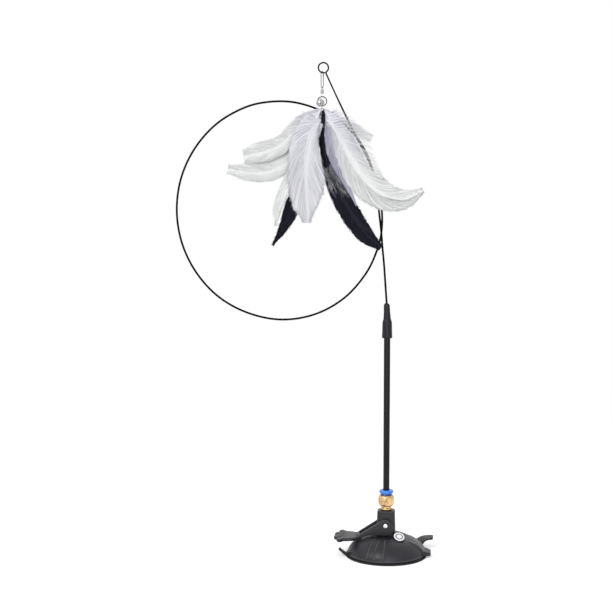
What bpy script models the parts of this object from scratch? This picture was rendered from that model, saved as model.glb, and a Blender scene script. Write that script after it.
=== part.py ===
"""Feather wand on a lever-locked suction cup, modelled piece by piece.

Units are metres, +Z is up. The origin is the middle of the suction cup on the table. The wire bow
lies close to the XZ plane, on the -X side, and the feathers hang in front of it, towards -Y. The
cup's cover, post and lever share one frame that is turned a little about Z.
"""
import math

import bmesh
import bpy
from mathutils import Matrix, Vector

# Fits between pieces
GAP = 0.0003                 # air between two pieces that touch
SLIDE_GAP = 0.0004           # air round the post in the cover and inside the fork
OVERRUN = 0.001              # how far a cutter runs past a face, or a joined piece into its mate

# How the base stands under the bow
BASE_TURN = math.radians(-7)

# Suction cup
CUP_RADIUS = 0.0385
CUP_RIM_FACE = 0.0026        # flat ring that seals on the table
CUP_RIM_THICKNESS = 0.0011
CUP_RIM_ROUND = 0.0003
CUP_HOLLOW = 0.0022          # height of the hollow under the cup
CUP_PAD_RADIUS = 0.007       # flat middle of that hollow
CUP_SKIRT_RADIUS = 0.030     # where the hollow starts to thin out towards the rim
CUP_SKIRT_RISE = 0.0010
CUP_STEP = 0.0006            # slope of the step up to the ring that the cover stands on
CUP_SEAT_WIDTH = 0.0028
CUP_CROWN = 0.0048           # top of the rubber beside its middle boss
CUP_BOSS_RADIUS = 0.0115
CUP_BOSS_HEIGHT = 0.0096
CUP_BOSS_ROUND = 0.0012
CUP_FLOOR = 0.0027           # rubber under the foot of the post

# Pull tabs of the cup: direction in the world, reach, height of the free end, width, thickness, and the
# share of that height at equal steps along them
TAB_INSET = 0.0025           # how far a tab's root lies inside the rim
SIDE_TAB_ANGLE = math.radians(184)
SIDE_TAB_REACH = 0.0060
SIDE_TAB_RISE = 0.0064
SIDE_TAB_WIDTH = 0.010
SIDE_TAB_THICKNESS = 0.0012
SIDE_TAB_SHARES = (0.0, 0.10, 0.24, 0.41, 0.59, 0.79, 1.0)
REAR_TAB_ANGLE = math.radians(32)
REAR_TAB_HEADING = math.radians(-8)     # the way that its free end points
REAR_TAB_REACH = 0.0148
REAR_TAB_RISE = 0.0095
REAR_TAB_WIDTH = 0.0160
REAR_TAB_THICKNESS = 0.0022
REAR_TAB_SHARES = (0.0, 0.06, 0.46, 0.78, 0.92, 0.98, 1.0)

# Domed cover
COVER_RADIUS = 0.0365
COVER_FOOT = 0.0022          # height of its lower edge
COVER_RISE = 0.0208          # height that the full dome would have above its edge
COVER_SEAT_RISE = 0.0177     # height of the flat that the lever's ears press on
COVER_WALL = 0.0020
COVER_FULLNESS = 1.8         # exponents of the dome's curve
COVER_CROWN = 0.55
RIB_WIDTH = 0.0012
RIB_RAISE = 0.0006
RIB_START = 0.0155
RIB_END = 0.0355
RIB_ANGLES = [math.radians(a) for a in (243, 255, 270)]   # the three front ribs; the rear ones mirror them
TONGUE_START = 0.019
TONGUE_END = 0.0425
TONGUE_ROOT_WIDTH = 0.027
TONGUE_END_WIDTH = 0.013
TONGUE_RAISE = 0.0007
TONGUE_THICKNESS = 0.0030
LABEL_RADIUS = 0.0050
LABEL_THICKNESS = 0.0005
LABEL_RIM = 0.0006           # boss left bare round the label
LABEL_OUT = 0.0130           # label's middle, along and across the cover
LABEL_ACROSS = 0.0132
LABEL_HEIGHT = 0.0210
LABEL_TILT = math.radians(34)
LABEL_FACING = math.radians(-66)
LABEL_BOSS_DEPTH = 0.0055

# Post
POST_WIDTH = 0.0177          # along the lever
POST_DEPTH = 0.0134          # between the lever's ears
POST_TAPER = 0.0006          # how much narrower each side is at the top
POST_TOP = 0.0438
POST_CHAMFER = 0.0009
POST_SQUARENESS = 7          # exponent of its rounded-square outline
POST_BODY_BOTTOM = 0.0124
POST_STEM_RADIUS = 0.005
POST_FOOT_RADIUS = 0.008
POST_FOOT_THICKNESS = 0.0028
POST_TRAVEL = 0.0022         # how far it sinks when the lever is lifted
THREAD_DEPTH = 0.0096
THREAD_RADIUS = 0.00485      # taper pipe thread, one eighth

# Lever and its pin
PIN_HEIGHT = 0.0302
PIN_RADIUS = 0.0016
PIN_HEAD_RADIUS = 0.00205
PIN_HEAD_THICKNESS = 0.0008
EAR_THICKNESS = 0.0026
EAR_TOP_RADIUS = 0.0062
LEVER_OPEN = math.radians(90)
ARM_SLOPE = math.radians(33.7)
HEEL_LENGTH = 0.0165         # flat underside of an ear, behind its nose
HEEL_LIFT = 0.0006           # how far that flat lies above the nose
PAW_TOP = 0.0185
PAW_THICKNESS = 0.0030
PAW_ROUND = 0.0008
PAW_ROOT = 0.0275            # inner edge of the web between the arms
PAW_WAIST = 0.0310
PAW_CENTRE = 0.0378
PAW_RADIUS = 0.0088
PAW_TOE = 0.0032             # how far each toe stands out
PAW_SPREAD_SHARE = 1.80      # breadth of the paw against its length
PAW_TOES = 4
PAW_FAN = math.radians(144)

# Push-in fitting
TUBE_RADIUS = 0.003
TUBE_BORE = 0.002
NECK_RADIUS = 0.0044
NECK_HEIGHT = 0.0037
HEX_ACROSS = 0.0138
HEX_HEIGHT = 0.0109
HEX_CHAMFER = 0.0025
HEX_FOOT_CHAMFER = 0.0034
HEX_TURN = math.radians(12)
SOCKET_DROP = 0.0020         # how far the tube's seat lies below the post's top
FLOW_BORE = 0.0022
CHAMBER_FLOOR = 0.0020       # brass left under the seal, above the neck
CHAMBER_RADIUS = 0.0056
SEAL_HEIGHT = 0.0019
CLAW_HEIGHT = 0.0014
CLAW_TOOTH = 0.0008
GUIDE_HEIGHT = 0.0016
SLEEVE_LIP = 0.0011
SLEEVE_LIP_RADIUS = 0.0050
SLEEVE_WALL = 0.0008
SLEEVE_TRAVEL = 0.0009
COLLAR_RADIUS = 0.0066
COLLAR_THICKNESS = 0.0026
COLLAR_ROUND = 0.0005

# Pole and boot
POLE_TOP = 0.2237
BOOT_OVERLAP = 0.0161        # how far the boot runs down over the pole
BOOT_LIP_RADIUS = 0.0049
BOOT_LIP_HEIGHT = 0.0022
BOOT_RADIUS = 0.0046
BOOT_ROOF = 0.0004           # how far above the pole's top its thick part ends
BOOT_SHOULDER_HEIGHT = 0.0030
BOOT_NOSE_RADIUS = 0.0029
BOOT_NOSE_LENGTH = 0.0134
BOOT_TIP_ROUND = 0.0012
PLUG_LENGTH = 0.0150

# Wire bow: its size, and the route as shares of its width, depth and rise above the boot's tip
WIRE_RADIUS = 0.0007
BOW_WIDTH = 0.200
BOW_DEPTH = 0.010
BOW_RISE = 0.217
BOW_STEPS = 104
EYE_RADIUS = 0.0046          # of the eye's centre line
EYE_STEPS = 20
BOW_ROUTE_SHARES = (
    (-0.0040, 0.00, 0.011), (-0.0095, 0.00, 0.081), (-0.0165, 0.00, 0.168), (-0.0240, 0.00, 0.239),
    (-0.0295, 0.00, 0.301), (-0.0410, 0.05, 0.394), (-0.0560, 0.10, 0.505), (-0.0840, 0.20, 0.605),
    (-0.1230, 0.25, 0.680), (-0.1770, 0.30, 0.742), (-0.2550, 0.30, 0.796), (-0.3400, 0.30, 0.834),
    (-0.4430, 0.25, 0.859), (-0.5470, 0.20, 0.860), (-0.6510, 0.15, 0.840), (-0.7880, 0.10, 0.771),
    (-0.8930, 0.05, 0.666), (-0.9590, 0.00, 0.539), (-0.9810, -0.05, 0.400), (-0.9590, -0.10, 0.262),
    (-0.8940, -0.15, 0.135), (-0.7900, -0.20, 0.029), (-0.6530, -0.25, -0.041), (-0.4970, -0.30, -0.070),
    (-0.3390, -0.33, -0.047), (-0.2000, -0.36, 0.025), (-0.0980, -0.38, 0.134), (-0.0520, -0.40, 0.225),
    (-0.0310, -0.43, 0.302), (-0.0290, -0.48, 0.395), (-0.0490, -0.55, 0.506), (-0.0970, -0.63, 0.618),
    (-0.1650, -0.75, 0.737), (-0.2380, -0.88, 0.874),
)
BOW_EYE_SHARE = (-0.3010, -1.00, 0.998)

# Snap and swivel
SNAP_WIRE = 0.0003
SNAP_WIDTH = 0.0034
SNAP_LENGTH = 0.0149
SNAP_TURN = math.radians(35)
SNAP_SIDE = 0.0011           # how far the snap hangs to the side of the eye's lowest point
LOOP_WIRE = 0.00025
UPPER_EYE = 0.00095
LOWER_EYE = 0.0016
BARREL_RADIUS = 0.0015
BARREL_HEIGHT = 0.0036
BARREL_ROUND = 0.0007
BARREL_NECK = 0.0006         # depth of each narrow mouth
BARREL_CHAMBER = 0.00115     # radius of the room behind it
SHANK_RADIUS = 0.0003
SHANK_HEAD = 0.00085
SHANK_HEAD_HEIGHT = 0.0004

# Split ring, bell and crimp
RING_RADIUS = 0.0042
RING_WIRE = 0.00035
RING_PITCH = 0.00115          # between its two turns
RING_STEP = math.radians(30) # half the arc in which it steps from one turn to the next
RING_STEPS = 48
BELL_RADIUS = 0.0037
BELL_WALL = 0.0005
BELL_SLOT = 0.0008
BELL_FORWARD = 0.0052        # the bell's middle, in front of the ring
BELL_DROP = 0.0057
BELL_SIDE = 0.0017
BELL_LOOP = 0.0011           # half-width of its hanging loop
CLAPPER_RADIUS = 0.0011
CRIMP_RADIUS = 0.0027        # of its bore
CRIMP_WALL = 0.0006
CRIMP_HEIGHT = 0.0052
CRIMP_CAP = 0.0008

# Feathers
QUILL_RADIUS = 0.00045
QUILL_CIRCLE = 0.00195
QUILL_SEATS = 9
QUILL_DEPTH = 0.0040         # length of quill held in the crimp
FEATHER_THICKNESS = 0.0005
FEATHER_CAMBER_SHARE = 0.05  # how far a vane's middle bows out, against its width
FEATHER_STEPS = 14
FEATHER_STOPS = (0.0, 0.0040, 0.0062, 0.0088, 0.0120, 0.0160, 0.0210)   # close steps where quills fan out
SHAFT_STRAIGHT = 0.0016      # quill below the crimp that still runs straight down
SHAFT_BARE = 0.0080          # quill below the crimp that carries no vane
SHAFT_FAN = 0.0130           # length over which a feather moves to its own layer

# Each feather: length from crimp to tip along X and Z, quill's place on its circle, colour, route shares of
# the reach, depth of its layer in front of the crimp, half-widths of the two vanes, width shares.
BROAD_SHARES = (0.10, 0.42, 0.70, 0.88, 1.00, 1.00, 0.88, 0.60, 0.12)
FULL_SHARES = (0.12, 0.52, 0.80, 0.95, 1.00, 0.98, 0.92, 0.78, 0.40)
SLIM_SHARES = (0.06, 0.26, 0.55, 0.82, 1.00, 1.00, 0.84, 0.50, 0.06)
BLUNT_SHARES = (0.06, 0.28, 0.56, 0.80, 0.94, 1.00, 1.00, 0.92, 0.45)
DROP_SHARES = (0.10, 0.50, 0.85, 1.00, 0.95, 0.66, 0.36, 0.20, 0.06)
FEATHERS = {
    "feather_white_shoulder": dict(
        reach=0.0250, fall=0.0340, layer=0.0040, seat=0, vanes=(0.0095, 0.0095), shape_shares=FULL_SHARES,
        route_shares=((0.26, 0.12), (0.56, 0.34), (0.82, 0.66), (1.0, 1.0)), colour="white"),
    "feather_white_upper_left": dict(
        reach=0.0720, fall=0.0380, layer=0.0005, seat=2, vanes=(0.0080, 0.0095), shape_shares=BLUNT_SHARES,
        route_shares=((0.19, 0.16), (0.38, 0.48), (0.53, 0.73), (0.70, 0.88), (0.85, 0.95), (1.0, 1.0)),
        colour="white"),
    "feather_white_left": dict(
        reach=0.0865, fall=0.0530, layer=0.0020, seat=1, vanes=(0.0096, 0.0096), shape_shares=BLUNT_SHARES,
        route_shares=((0.13, 0.27), (0.26, 0.58), (0.40, 0.85), (0.56, 0.98), (0.77, 1.0), (1.0, 0.94)),
        colour="white"),
    "feather_black_lower_left": dict(
        reach=0.0455, fall=0.1200, layer=-0.0011, seat=8, vanes=(0.0074, 0.0074), shape_shares=SLIM_SHARES,
        route_shares=((0.16, 0.19), (0.37, 0.43), (0.53, 0.59), (0.66, 0.75), (0.81, 0.88), (1.0, 1.0)),
        colour="black"),
    "feather_white_lower_left": dict(
        reach=0.0425, fall=0.1015, layer=-0.0096, seat=3, vanes=(0.0066, 0.0066), shape_shares=BROAD_SHARES,
        route_shares=((0.15, 0.15), (0.33, 0.32), (0.63, 0.58), (0.90, 0.83), (1.0, 1.0)), colour="white"),
    "feather_white_front": dict(
        reach=0.0150, fall=0.0990, layer=-0.0120, seat=4, vanes=(0.0165, 0.0160), shape_shares=BROAD_SHARES,
        route_shares=((0.55, 0.14), (0.95, 0.36), (1.02, 0.60), (0.96, 0.80), (0.88, 1.0)), colour="white"),
    "feather_white_right": dict(
        reach=-0.0925, fall=0.0780, layer=-0.0105, seat=5, vanes=(0.0125, 0.0140), shape_shares=BROAD_SHARES,
        route_shares=((0.12, 0.18), (0.25, 0.46), (0.40, 0.74), (0.60, 0.95), (0.82, 1.0), (1.0, 0.90)),
        colour="white"),
    "feather_lilac_inner": dict(
        reach=-0.0316, fall=0.0837, layer=-0.0080, seat=6, vanes=(0.0066, 0.0066), shape_shares=DROP_SHARES,
        route_shares=((0.17, 0.17), (0.32, 0.41), (0.50, 0.62), (0.75, 0.82), (1.0, 1.0)), colour="lilac"),
    "feather_black_right": dict(
        reach=-0.0545, fall=0.1220, layer=-0.0055, seat=None, vanes=(0.0078, 0.0080), shape_shares=BLUNT_SHARES,
        route_shares=((0.00, 0.20), (0.10, 0.40), (0.28, 0.58), (0.50, 0.75), (0.76, 0.91), (1.0, 1.0)),
        colour="black"),
    "feather_small_upper_right": dict(
        reach=-0.0455, fall=0.0222, layer=-0.0010, seat=7, vanes=(0.0046, 0.0046), shape_shares=BLUNT_SHARES,
        route_shares=((0.12, 0.12), (0.28, 0.22), (0.53, 0.44), (0.78, 0.75), (1.0, 1.0)), colour="pale"),
}

# Sides of round pieces
SIDES_LARGE = 40
SIDES = 32
SIDES_SMALL = 16
SIDES_WIRE = 8

FINISHES = {
    "black_plastic": ((0.035, 0.035, 0.038, 1.0), 0.55, 0.0),
    "black_rubber": ((0.025, 0.025, 0.027, 1.0), 0.75, 0.0),
    "black_gloss": ((0.020, 0.020, 0.023, 1.0), 0.35, 0.0),
    "black_wire": ((0.015, 0.015, 0.016, 1.0), 0.40, 0.3),
    "label_paper": ((0.80, 0.80, 0.85, 1.0), 0.50, 0.0),
    "brass": ((0.80, 0.58, 0.26, 1.0), 0.25, 1.0),
    "steel": ((0.75, 0.75, 0.77, 1.0), 0.25, 1.0),
    "blue_plastic": ((0.05, 0.20, 0.75, 1.0), 0.40, 0.0),
    "seal_rubber": ((0.02, 0.02, 0.02, 1.0), 0.80, 0.0),
    "feather_white": ((0.86, 0.86, 0.90, 1.0), 0.85, 0.0),
    "feather_pale": ((0.72, 0.73, 0.76, 1.0), 0.85, 0.0),
    "feather_lilac": ((0.66, 0.66, 0.80, 1.0), 0.85, 0.0),
    "feather_black": ((0.02, 0.02, 0.035, 1.0), 0.70, 0.0),
}

# Heights that follow from the sizes above
COVER_SEAT = COVER_FOOT + COVER_SEAT_RISE
CUP_SEAT_TOP = COVER_FOOT - GAP
FOOT_BOTTOM = CUP_HOLLOW + CUP_FLOOR + GAP
HEX_BOTTOM = POST_TOP + NECK_HEIGHT
HEX_TOP = HEX_BOTTOM + HEX_HEIGHT
THREAD_BOTTOM = POST_TOP - THREAD_DEPTH + GAP
SOCKET_FLOOR = POST_TOP - SOCKET_DROP
TUBE_BOTTOM = SOCKET_FLOOR + GAP
CHAMBER_BOTTOM = HEX_BOTTOM + CHAMBER_FLOOR
SEAL_BOTTOM = CHAMBER_BOTTOM + GAP
CLAW_BOTTOM = SEAL_BOTTOM + SEAL_HEIGHT + GAP
GUIDE_BOTTOM = HEX_TOP - GUIDE_HEIGHT
LIP_BOTTOM = CLAW_BOTTOM + CLAW_HEIGHT + GAP + SLEEVE_TRAVEL
COLLAR_BOTTOM = HEX_TOP + GAP + SLEEVE_TRAVEL
COLLAR_TOP = COLLAR_BOTTOM + COLLAR_THICKNESS
BOOT_BOTTOM = POLE_TOP - BOOT_OVERLAP
BOOT_SHOULDER = POLE_TOP + BOOT_ROOF
BOOT_TIP = BOOT_SHOULDER + BOOT_SHOULDER_HEIGHT + BOOT_NOSE_LENGTH
EAR_INNER = POST_DEPTH / 2 + SLIDE_GAP
EAR_OUTER = EAR_INNER + EAR_THICKNESS
CAM_REACH = PIN_HEIGHT - COVER_SEAT - GAP      # from the pin down to an ear's nose
CAM_RATE = POST_TRAVEL / LEVER_OPEN            # metres of travel for each radian of the lever
PIN_HOLE = PIN_RADIUS + GAP
EYE_CENTRE = Vector((BOW_WIDTH * BOW_EYE_SHARE[0], BOW_DEPTH * BOW_EYE_SHARE[1],
                     BOOT_TIP + BOW_RISE * BOW_EYE_SHARE[2]))
SNAP_HINGE = EYE_CENTRE.z - math.sqrt(EYE_RADIUS ** 2 - SNAP_SIDE ** 2)   # the eye's wire at the snap
SNAP_TOP = SNAP_HINGE + WIRE_RADIUS + GAP + SNAP_WIRE
SNAP_BOTTOM = SNAP_TOP - SNAP_LENGTH
SNAP_X = EYE_CENTRE.x - SNAP_SIDE
UPPER_EYE_Z = SNAP_BOTTOM + SNAP_WIRE + GAP + LOOP_WIRE - UPPER_EYE
BARREL_TOP = UPPER_EYE_Z - UPPER_EYE - LOOP_WIRE - GAP
BARREL_BOTTOM = BARREL_TOP - BARREL_HEIGHT
LOWER_EYE_Z = BARREL_BOTTOM - GAP - LOOP_WIRE - LOWER_EYE
RING_TOP = LOWER_EYE_Z - LOWER_EYE + LOOP_WIRE + GAP + RING_WIRE
RING_Z = RING_TOP - RING_RADIUS
RING_BOTTOM = RING_Z - RING_RADIUS
CRIMP_LOOP = LOWER_EYE
CRIMP_LOOP_Z = RING_BOTTOM + RING_WIRE + GAP + LOOP_WIRE - CRIMP_LOOP
CRIMP_TOP = CRIMP_LOOP_Z - CRIMP_LOOP
CRIMP_BOTTOM = CRIMP_TOP - CRIMP_HEIGHT
LURE_Y = EYE_CENTRE.y
FEATHER_Z = CRIMP_BOTTOM


def finish_material(name):
    """One Principled material for a finish, made the first time it is asked for."""
    material = bpy.data.materials.get(name)
    if material is None:
        colour, roughness, metallic = FINISHES[name]
        material = bpy.data.materials.new(name)
        material.use_nodes = True
        shader = material.node_tree.nodes["Principled BSDF"]
        shader.inputs["Base Color"].default_value = colour
        shader.inputs["Roughness"].default_value = roughness
        shader.inputs["Metallic"].default_value = metallic
        material.diffuse_color = colour
    return material


def add_piece(name, bm, finish, place=(0, 0, 0), parent=None, smooth=True):
    """Turns a bmesh into a named object with one material, its faces pointing out."""
    bmesh.ops.recalc_face_normals(bm, faces=bm.faces)
    mesh = bpy.data.meshes.new(name)
    bm.to_mesh(mesh)
    bm.free()
    if smooth:
        mesh.shade_smooth()
        mesh.set_sharp_from_angle(angle=math.radians(35))
    mesh.materials.append(finish_material(finish))
    piece = bpy.data.objects.new(name, mesh)
    piece.location = place
    piece.parent = parent
    bpy.context.scene.collection.objects.link(piece)
    return piece


def add_empty(name, place=(0, 0, 0), turn=0.0, parent=None):
    """An empty that carries the pieces of one moving body."""
    empty = bpy.data.objects.new(name, None)
    empty.location = place
    empty.rotation_euler = (0, 0, turn)
    empty.parent = parent
    bpy.context.scene.collection.objects.link(empty)
    return empty


def combine(piece, guide, operation):
    """Joins a guide to a piece, or cuts it out of the piece, and hides the guide."""
    guide.hide_render = True
    guide.display_type = "WIRE"
    change = piece.modifiers.new(guide.name, "BOOLEAN")
    change.operation = operation
    change.object = guide
    change.solver = "EXACT"


def skin_rings(bm, rings, closed=False):
    """Joins rings of equal counts by quads; an open run is capped, a closed one meets its start."""
    loops = [[bm.verts.new(p) for p in ring] for ring in rings]
    count = len(loops[0])
    pairs = list(zip(loops, loops[1:]))
    if closed:
        pairs.append((loops[-1], loops[0]))
    for low, high in pairs:
        for i in range(count):
            j = (i + 1) % count
            bm.faces.new((low[i], low[j], high[j], high[i]))
    if not closed:
        bm.faces.new(loops[0][::-1])
        bm.faces.new(loops[-1])
    return loops


def turn_profile(bm, profile, sides, centre=(0, 0), angle=0.0):
    """Turns (radius, height) pairs about a vertical line. Ends on that line close in a point,
    and a profile that stays off it closes into a ring."""
    on_axis = profile[0][0] == 0
    loops = []
    for radius, height in profile:
        if radius == 0:
            loops.append([bm.verts.new((centre[0], centre[1], height))])
            continue
        ring = []
        for i in range(sides):
            a = angle + math.tau * i / sides
            ring.append(bm.verts.new((centre[0] + radius * math.cos(a), centre[1] + radius * math.sin(a), height)))
        loops.append(ring)
    pairs = list(zip(loops, loops[1:]))
    if not on_axis:
        pairs.append((loops[-1], loops[0]))
    for low, high in pairs:
        for i in range(sides):
            j = (i + 1) % sides
            corners = [low[i % len(low)], low[j % len(low)], high[j % len(high)], high[i % len(high)]]
            bm.faces.new(list(dict.fromkeys(corners)))


def turned(name, profile, sides, finish, place=(0, 0, 0), parent=None, angle=0.0):
    """A piece turned from a profile of (radius, height) pairs."""
    bm = bmesh.new()
    turn_profile(bm, profile, sides, angle=angle)
    return add_piece(name, bm, finish, place, parent)


def prism(bm, outline, low, high, axis="Z"):
    """Extrudes a flat outline of (x, z) pairs along Y, or of (x, y) pairs along Z."""
    if axis == "Y":
        rings = [[(a, level, b) for a, b in outline] for level in (low, high)]
    else:
        rings = [[(a, b, level) for a, b in outline] for level in (low, high)]
    skin_rings(bm, rings)


def tube_rings(points, radius, sides):
    """Circles along a path, kept from twisting by carrying the last frame on."""
    rings = []
    across = None
    for i, point in enumerate(points):
        ahead = points[min(i + 1, len(points) - 1)] - points[max(i - 1, 0)]
        along = ahead.normalized()
        if across is None:
            across = along.orthogonal()
        across = (across - along * across.dot(along)).normalized()
        other = along.cross(across)
        ring = []
        for k in range(sides):
            a = math.tau * k / sides
            ring.append(point + (across * math.cos(a) + other * math.sin(a)) * radius)
        rings.append(ring)
    return rings


def add_tube(bm, points, radius, sides):
    """An open wire along a path, with flat ends."""
    skin_rings(bm, tube_rings(points, radius, sides))


def add_loop(bm, centre, first, second, radius, wire, steps, sides, stretch=0.0):
    """A closed loop of wire in the plane of two unit vectors. Stretch parts its two half circles
    along the second vector, which makes a long link."""
    rings = []
    for i in range(steps):
        a = math.tau * i / steps
        out = first * math.cos(a) + second * math.sin(a)
        side = second * math.copysign(stretch / 2, math.sin(a)) if abs(math.sin(a)) > 1e-9 else second * 0
        middle = centre + out * radius + side
        ring = []
        for k in range(sides):
            b = math.tau * k / sides
            ring.append(middle + (out * math.cos(b) + first.cross(second) * math.sin(b)) * wire)
        rings.append(ring)
    skin_rings(bm, rings, closed=True)


def smooth_path(points, steps, stops=(0.0,)):
    """Points along a centripetal Catmull-Rom curve through the given ones: first at the stops, which
    are lengths along it, and from the last stop on at even spacing."""
    padded = [points[0] * 2 - points[1]] + list(points) + [points[-1] * 2 - points[-2]]
    fine = []
    for p, q, r, s in zip(padded, padded[1:], padded[2:], padded[3:]):
        before, here, after = (math.sqrt((b - a).length) for a, b in ((p, q), (q, r), (r, s)))
        leave = (r - q) + ((q - p) / before - (r - p) / (before + here)) * here
        arrive = (r - q) + ((s - r) / after - (s - q) / (here + after)) * here
        for k in range(16):
            t = k / 16
            fine.append(q * (2 * t ** 3 - 3 * t ** 2 + 1) + leave * (t ** 3 - 2 * t ** 2 + t)
                        + r * (3 * t ** 2 - 2 * t ** 3) + arrive * (t ** 3 - t ** 2))
    fine.append(points[-1].copy())
    lengths = [0.0]
    for a, b in zip(fine, fine[1:]):
        lengths.append(lengths[-1] + (b - a).length)
    even = []
    k = 0
    rest = lengths[-1] - stops[-1]
    for target in list(stops) + [stops[-1] + rest * i / steps for i in range(1, steps + 1)]:
        while k < len(fine) - 2 and lengths[k + 1] < target:
            k += 1
        share = (target - lengths[k]) / (lengths[k + 1] - lengths[k])
        even.append(fine[k].lerp(fine[k + 1], share))
    return even


def shares_at(shares, t):
    """Reads a table of evenly spaced shares at t from 0 to 1."""
    place = t * (len(shares) - 1)
    k = min(int(place), len(shares) - 2)
    return shares[k] + (shares[k + 1] - shares[k]) * (place - k)


def dome_radius(level, radius, rise):
    """Radius of the dome's curve where it is level high: z = rise (1 - (r/R)^fullness)^crown."""
    share = max(0.0, min(1.0, level / rise))
    return radius * (1 - share ** (1 / COVER_CROWN)) ** (1 / COVER_FULLNESS)


def dome_height(radius):
    """Height of the cover's outside at a radius, no higher than its flat."""
    share = min(1.0, radius / COVER_RADIUS)
    return COVER_FOOT + min(COVER_SEAT_RISE, COVER_RISE * (1 - share ** COVER_FULLNESS) ** COVER_CROWN)


def tab_solid(bm, angle, heading, reach, rise, width, thickness, shares):
    """One pull tab: a strip that leaves the rim at an angle, turns to its heading on the way, and climbs
    to its free end by shares."""
    rings = []
    levels = len(shares)
    step = (TAB_INSET + reach) / (levels - 1)
    flat = Vector((math.cos(angle), math.sin(angle), 0)) * (CUP_RADIUS - TAB_INSET)
    for i in range(levels):
        facing = angle + (heading - angle) * i / (levels - 1)
        out = Vector((math.cos(facing), math.sin(facing), 0))
        side = Vector((-math.sin(facing), math.cos(facing), 0))
        if i:
            flat += out * step
        point = flat + Vector((0, 0, CUP_RIM_THICKNESS / 2 + rise * shares[i]))
        climb = shares[min(i + 1, levels - 1)] - shares[max(i - 1, 0)]
        run = min(i + 1, levels - 1) - max(i - 1, 0)
        slope = (out * step * run + Vector((0, 0, rise * climb))).normalized()
        lift = side.cross(slope).normalized() * -1
        low = CUP_RIM_THICKNESS / 2 if i == 0 else thickness
        half = width / 2 * (1 - 0.25 * (i / (levels - 1)) ** 4)
        rings.append([point + side * half * a + lift * low / 2 * b
                      for a, b in ((-1, -1), (1, -1), (1, 1), (-1, 1))])
    skin_rings(bm, rings)


def make_suction_cup(parent):
    """Rubber cup: sealing rim, shallow hollow, ring under the cover, boss round the post's foot."""
    rim_inner = CUP_RADIUS - CUP_RIM_FACE
    seat_outer = COVER_RADIUS - CUP_STEP - GAP
    hole = POST_STEM_RADIUS + GAP
    pocket = POST_FOOT_RADIUS + GAP
    floor = CUP_HOLLOW + CUP_FLOOR
    ceiling = FOOT_BOTTOM + POST_FOOT_THICKNESS + GAP
    profile = [
        (0, CUP_HOLLOW), (CUP_PAD_RADIUS, CUP_HOLLOW), (CUP_SKIRT_RADIUS, CUP_SKIRT_RISE), (rim_inner, 0),
        (CUP_RADIUS - CUP_RIM_ROUND, 0), (CUP_RADIUS, CUP_RIM_ROUND),
        (CUP_RADIUS, CUP_RIM_THICKNESS - CUP_RIM_ROUND), (CUP_RADIUS - CUP_RIM_ROUND, CUP_RIM_THICKNESS),
        (seat_outer + CUP_STEP, CUP_RIM_THICKNESS + CUP_RIM_ROUND), (seat_outer, CUP_SEAT_TOP),
        (seat_outer - CUP_SEAT_WIDTH, CUP_SEAT_TOP), (CUP_BOSS_RADIUS + CUP_BOSS_ROUND, CUP_CROWN),
        (CUP_BOSS_RADIUS, CUP_CROWN + CUP_BOSS_ROUND), (CUP_BOSS_RADIUS, CUP_BOSS_HEIGHT - CUP_BOSS_ROUND),
        (CUP_BOSS_RADIUS - CUP_BOSS_ROUND, CUP_BOSS_HEIGHT), (hole, CUP_BOSS_HEIGHT), (hole, ceiling),
        (pocket, ceiling), (pocket, floor), (0, floor),
    ]
    cup = turned("suction_cup", profile, SIDES_LARGE, "black_rubber", parent=parent)
    bm = bmesh.new()
    tab_solid(bm, SIDE_TAB_ANGLE - BASE_TURN, SIDE_TAB_ANGLE - BASE_TURN, SIDE_TAB_REACH, SIDE_TAB_RISE,
              SIDE_TAB_WIDTH, SIDE_TAB_THICKNESS, SIDE_TAB_SHARES)
    tab_solid(bm, REAR_TAB_ANGLE - BASE_TURN, REAR_TAB_HEADING - BASE_TURN, REAR_TAB_REACH, REAR_TAB_RISE,
              REAR_TAB_WIDTH, REAR_TAB_THICKNESS, REAR_TAB_SHARES)
    combine(cup, add_piece("pull_tabs_guide", bm, "black_rubber", parent=parent), "UNION")


def rib_solid(bm, angle):
    """A low ridge that runs down the cover along one direction."""
    out = Vector((math.cos(angle), math.sin(angle), 0))
    side = Vector((-math.sin(angle), math.cos(angle), 0))
    up = Vector((0, 0, 1))
    rings = []
    levels = 9
    for i in range(levels):
        radius = RIB_START + (RIB_END - RIB_START) * i / (levels - 1)
        fade = math.sin(math.pi * (i + 0.5) / levels) ** 0.5
        base = out * radius + up * dome_height(radius)
        rings.append([base - side * RIB_WIDTH / 2 - up * RIB_RAISE, base + up * RIB_RAISE * fade,
                      base + side * RIB_WIDTH / 2 - up * RIB_RAISE])
    skin_rings(bm, rings)


def tongue_solid(bm):
    """The spout opposite the lever: a raised band on the dome that narrows to a square lip."""
    rings = []
    levels = 12
    across_shares = (-1.0, -0.82, 0.0, 0.82, 1.0)
    lip_bottom = CUP_RIM_THICKNESS + CUP_RIM_ROUND + GAP
    lip_top = lip_bottom + TONGUE_THICKNESS
    for i in range(levels):
        t = i / (levels - 1)
        x = TONGUE_START + (TONGUE_END - TONGUE_START) * t
        half = (TONGUE_ROOT_WIDTH + (TONGUE_END_WIDTH - TONGUE_ROOT_WIDTH) * t) / 2
        bottom = lip_bottom if x > COVER_RADIUS else COVER_FOOT
        top = []
        for share in across_shares:
            y = half * share
            surface = dome_height(math.hypot(x, y)) + TONGUE_RAISE * (1.0 if abs(share) > 0.5 else 0.4)
            if abs(share) == 1.0:
                surface -= TONGUE_RAISE * 1.6
            top.append((x, y, max(surface, lip_top)))
        base = [(x, half * share, max(bottom, min(z - COVER_WALL * 0.8, z)) if x < COVER_RADIUS - COVER_WALL * 2
                 else bottom) for share, (_, _, z) in zip(across_shares, top)]
        rings.append(top + base[::-1])
    skin_rings(bm, rings)


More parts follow.
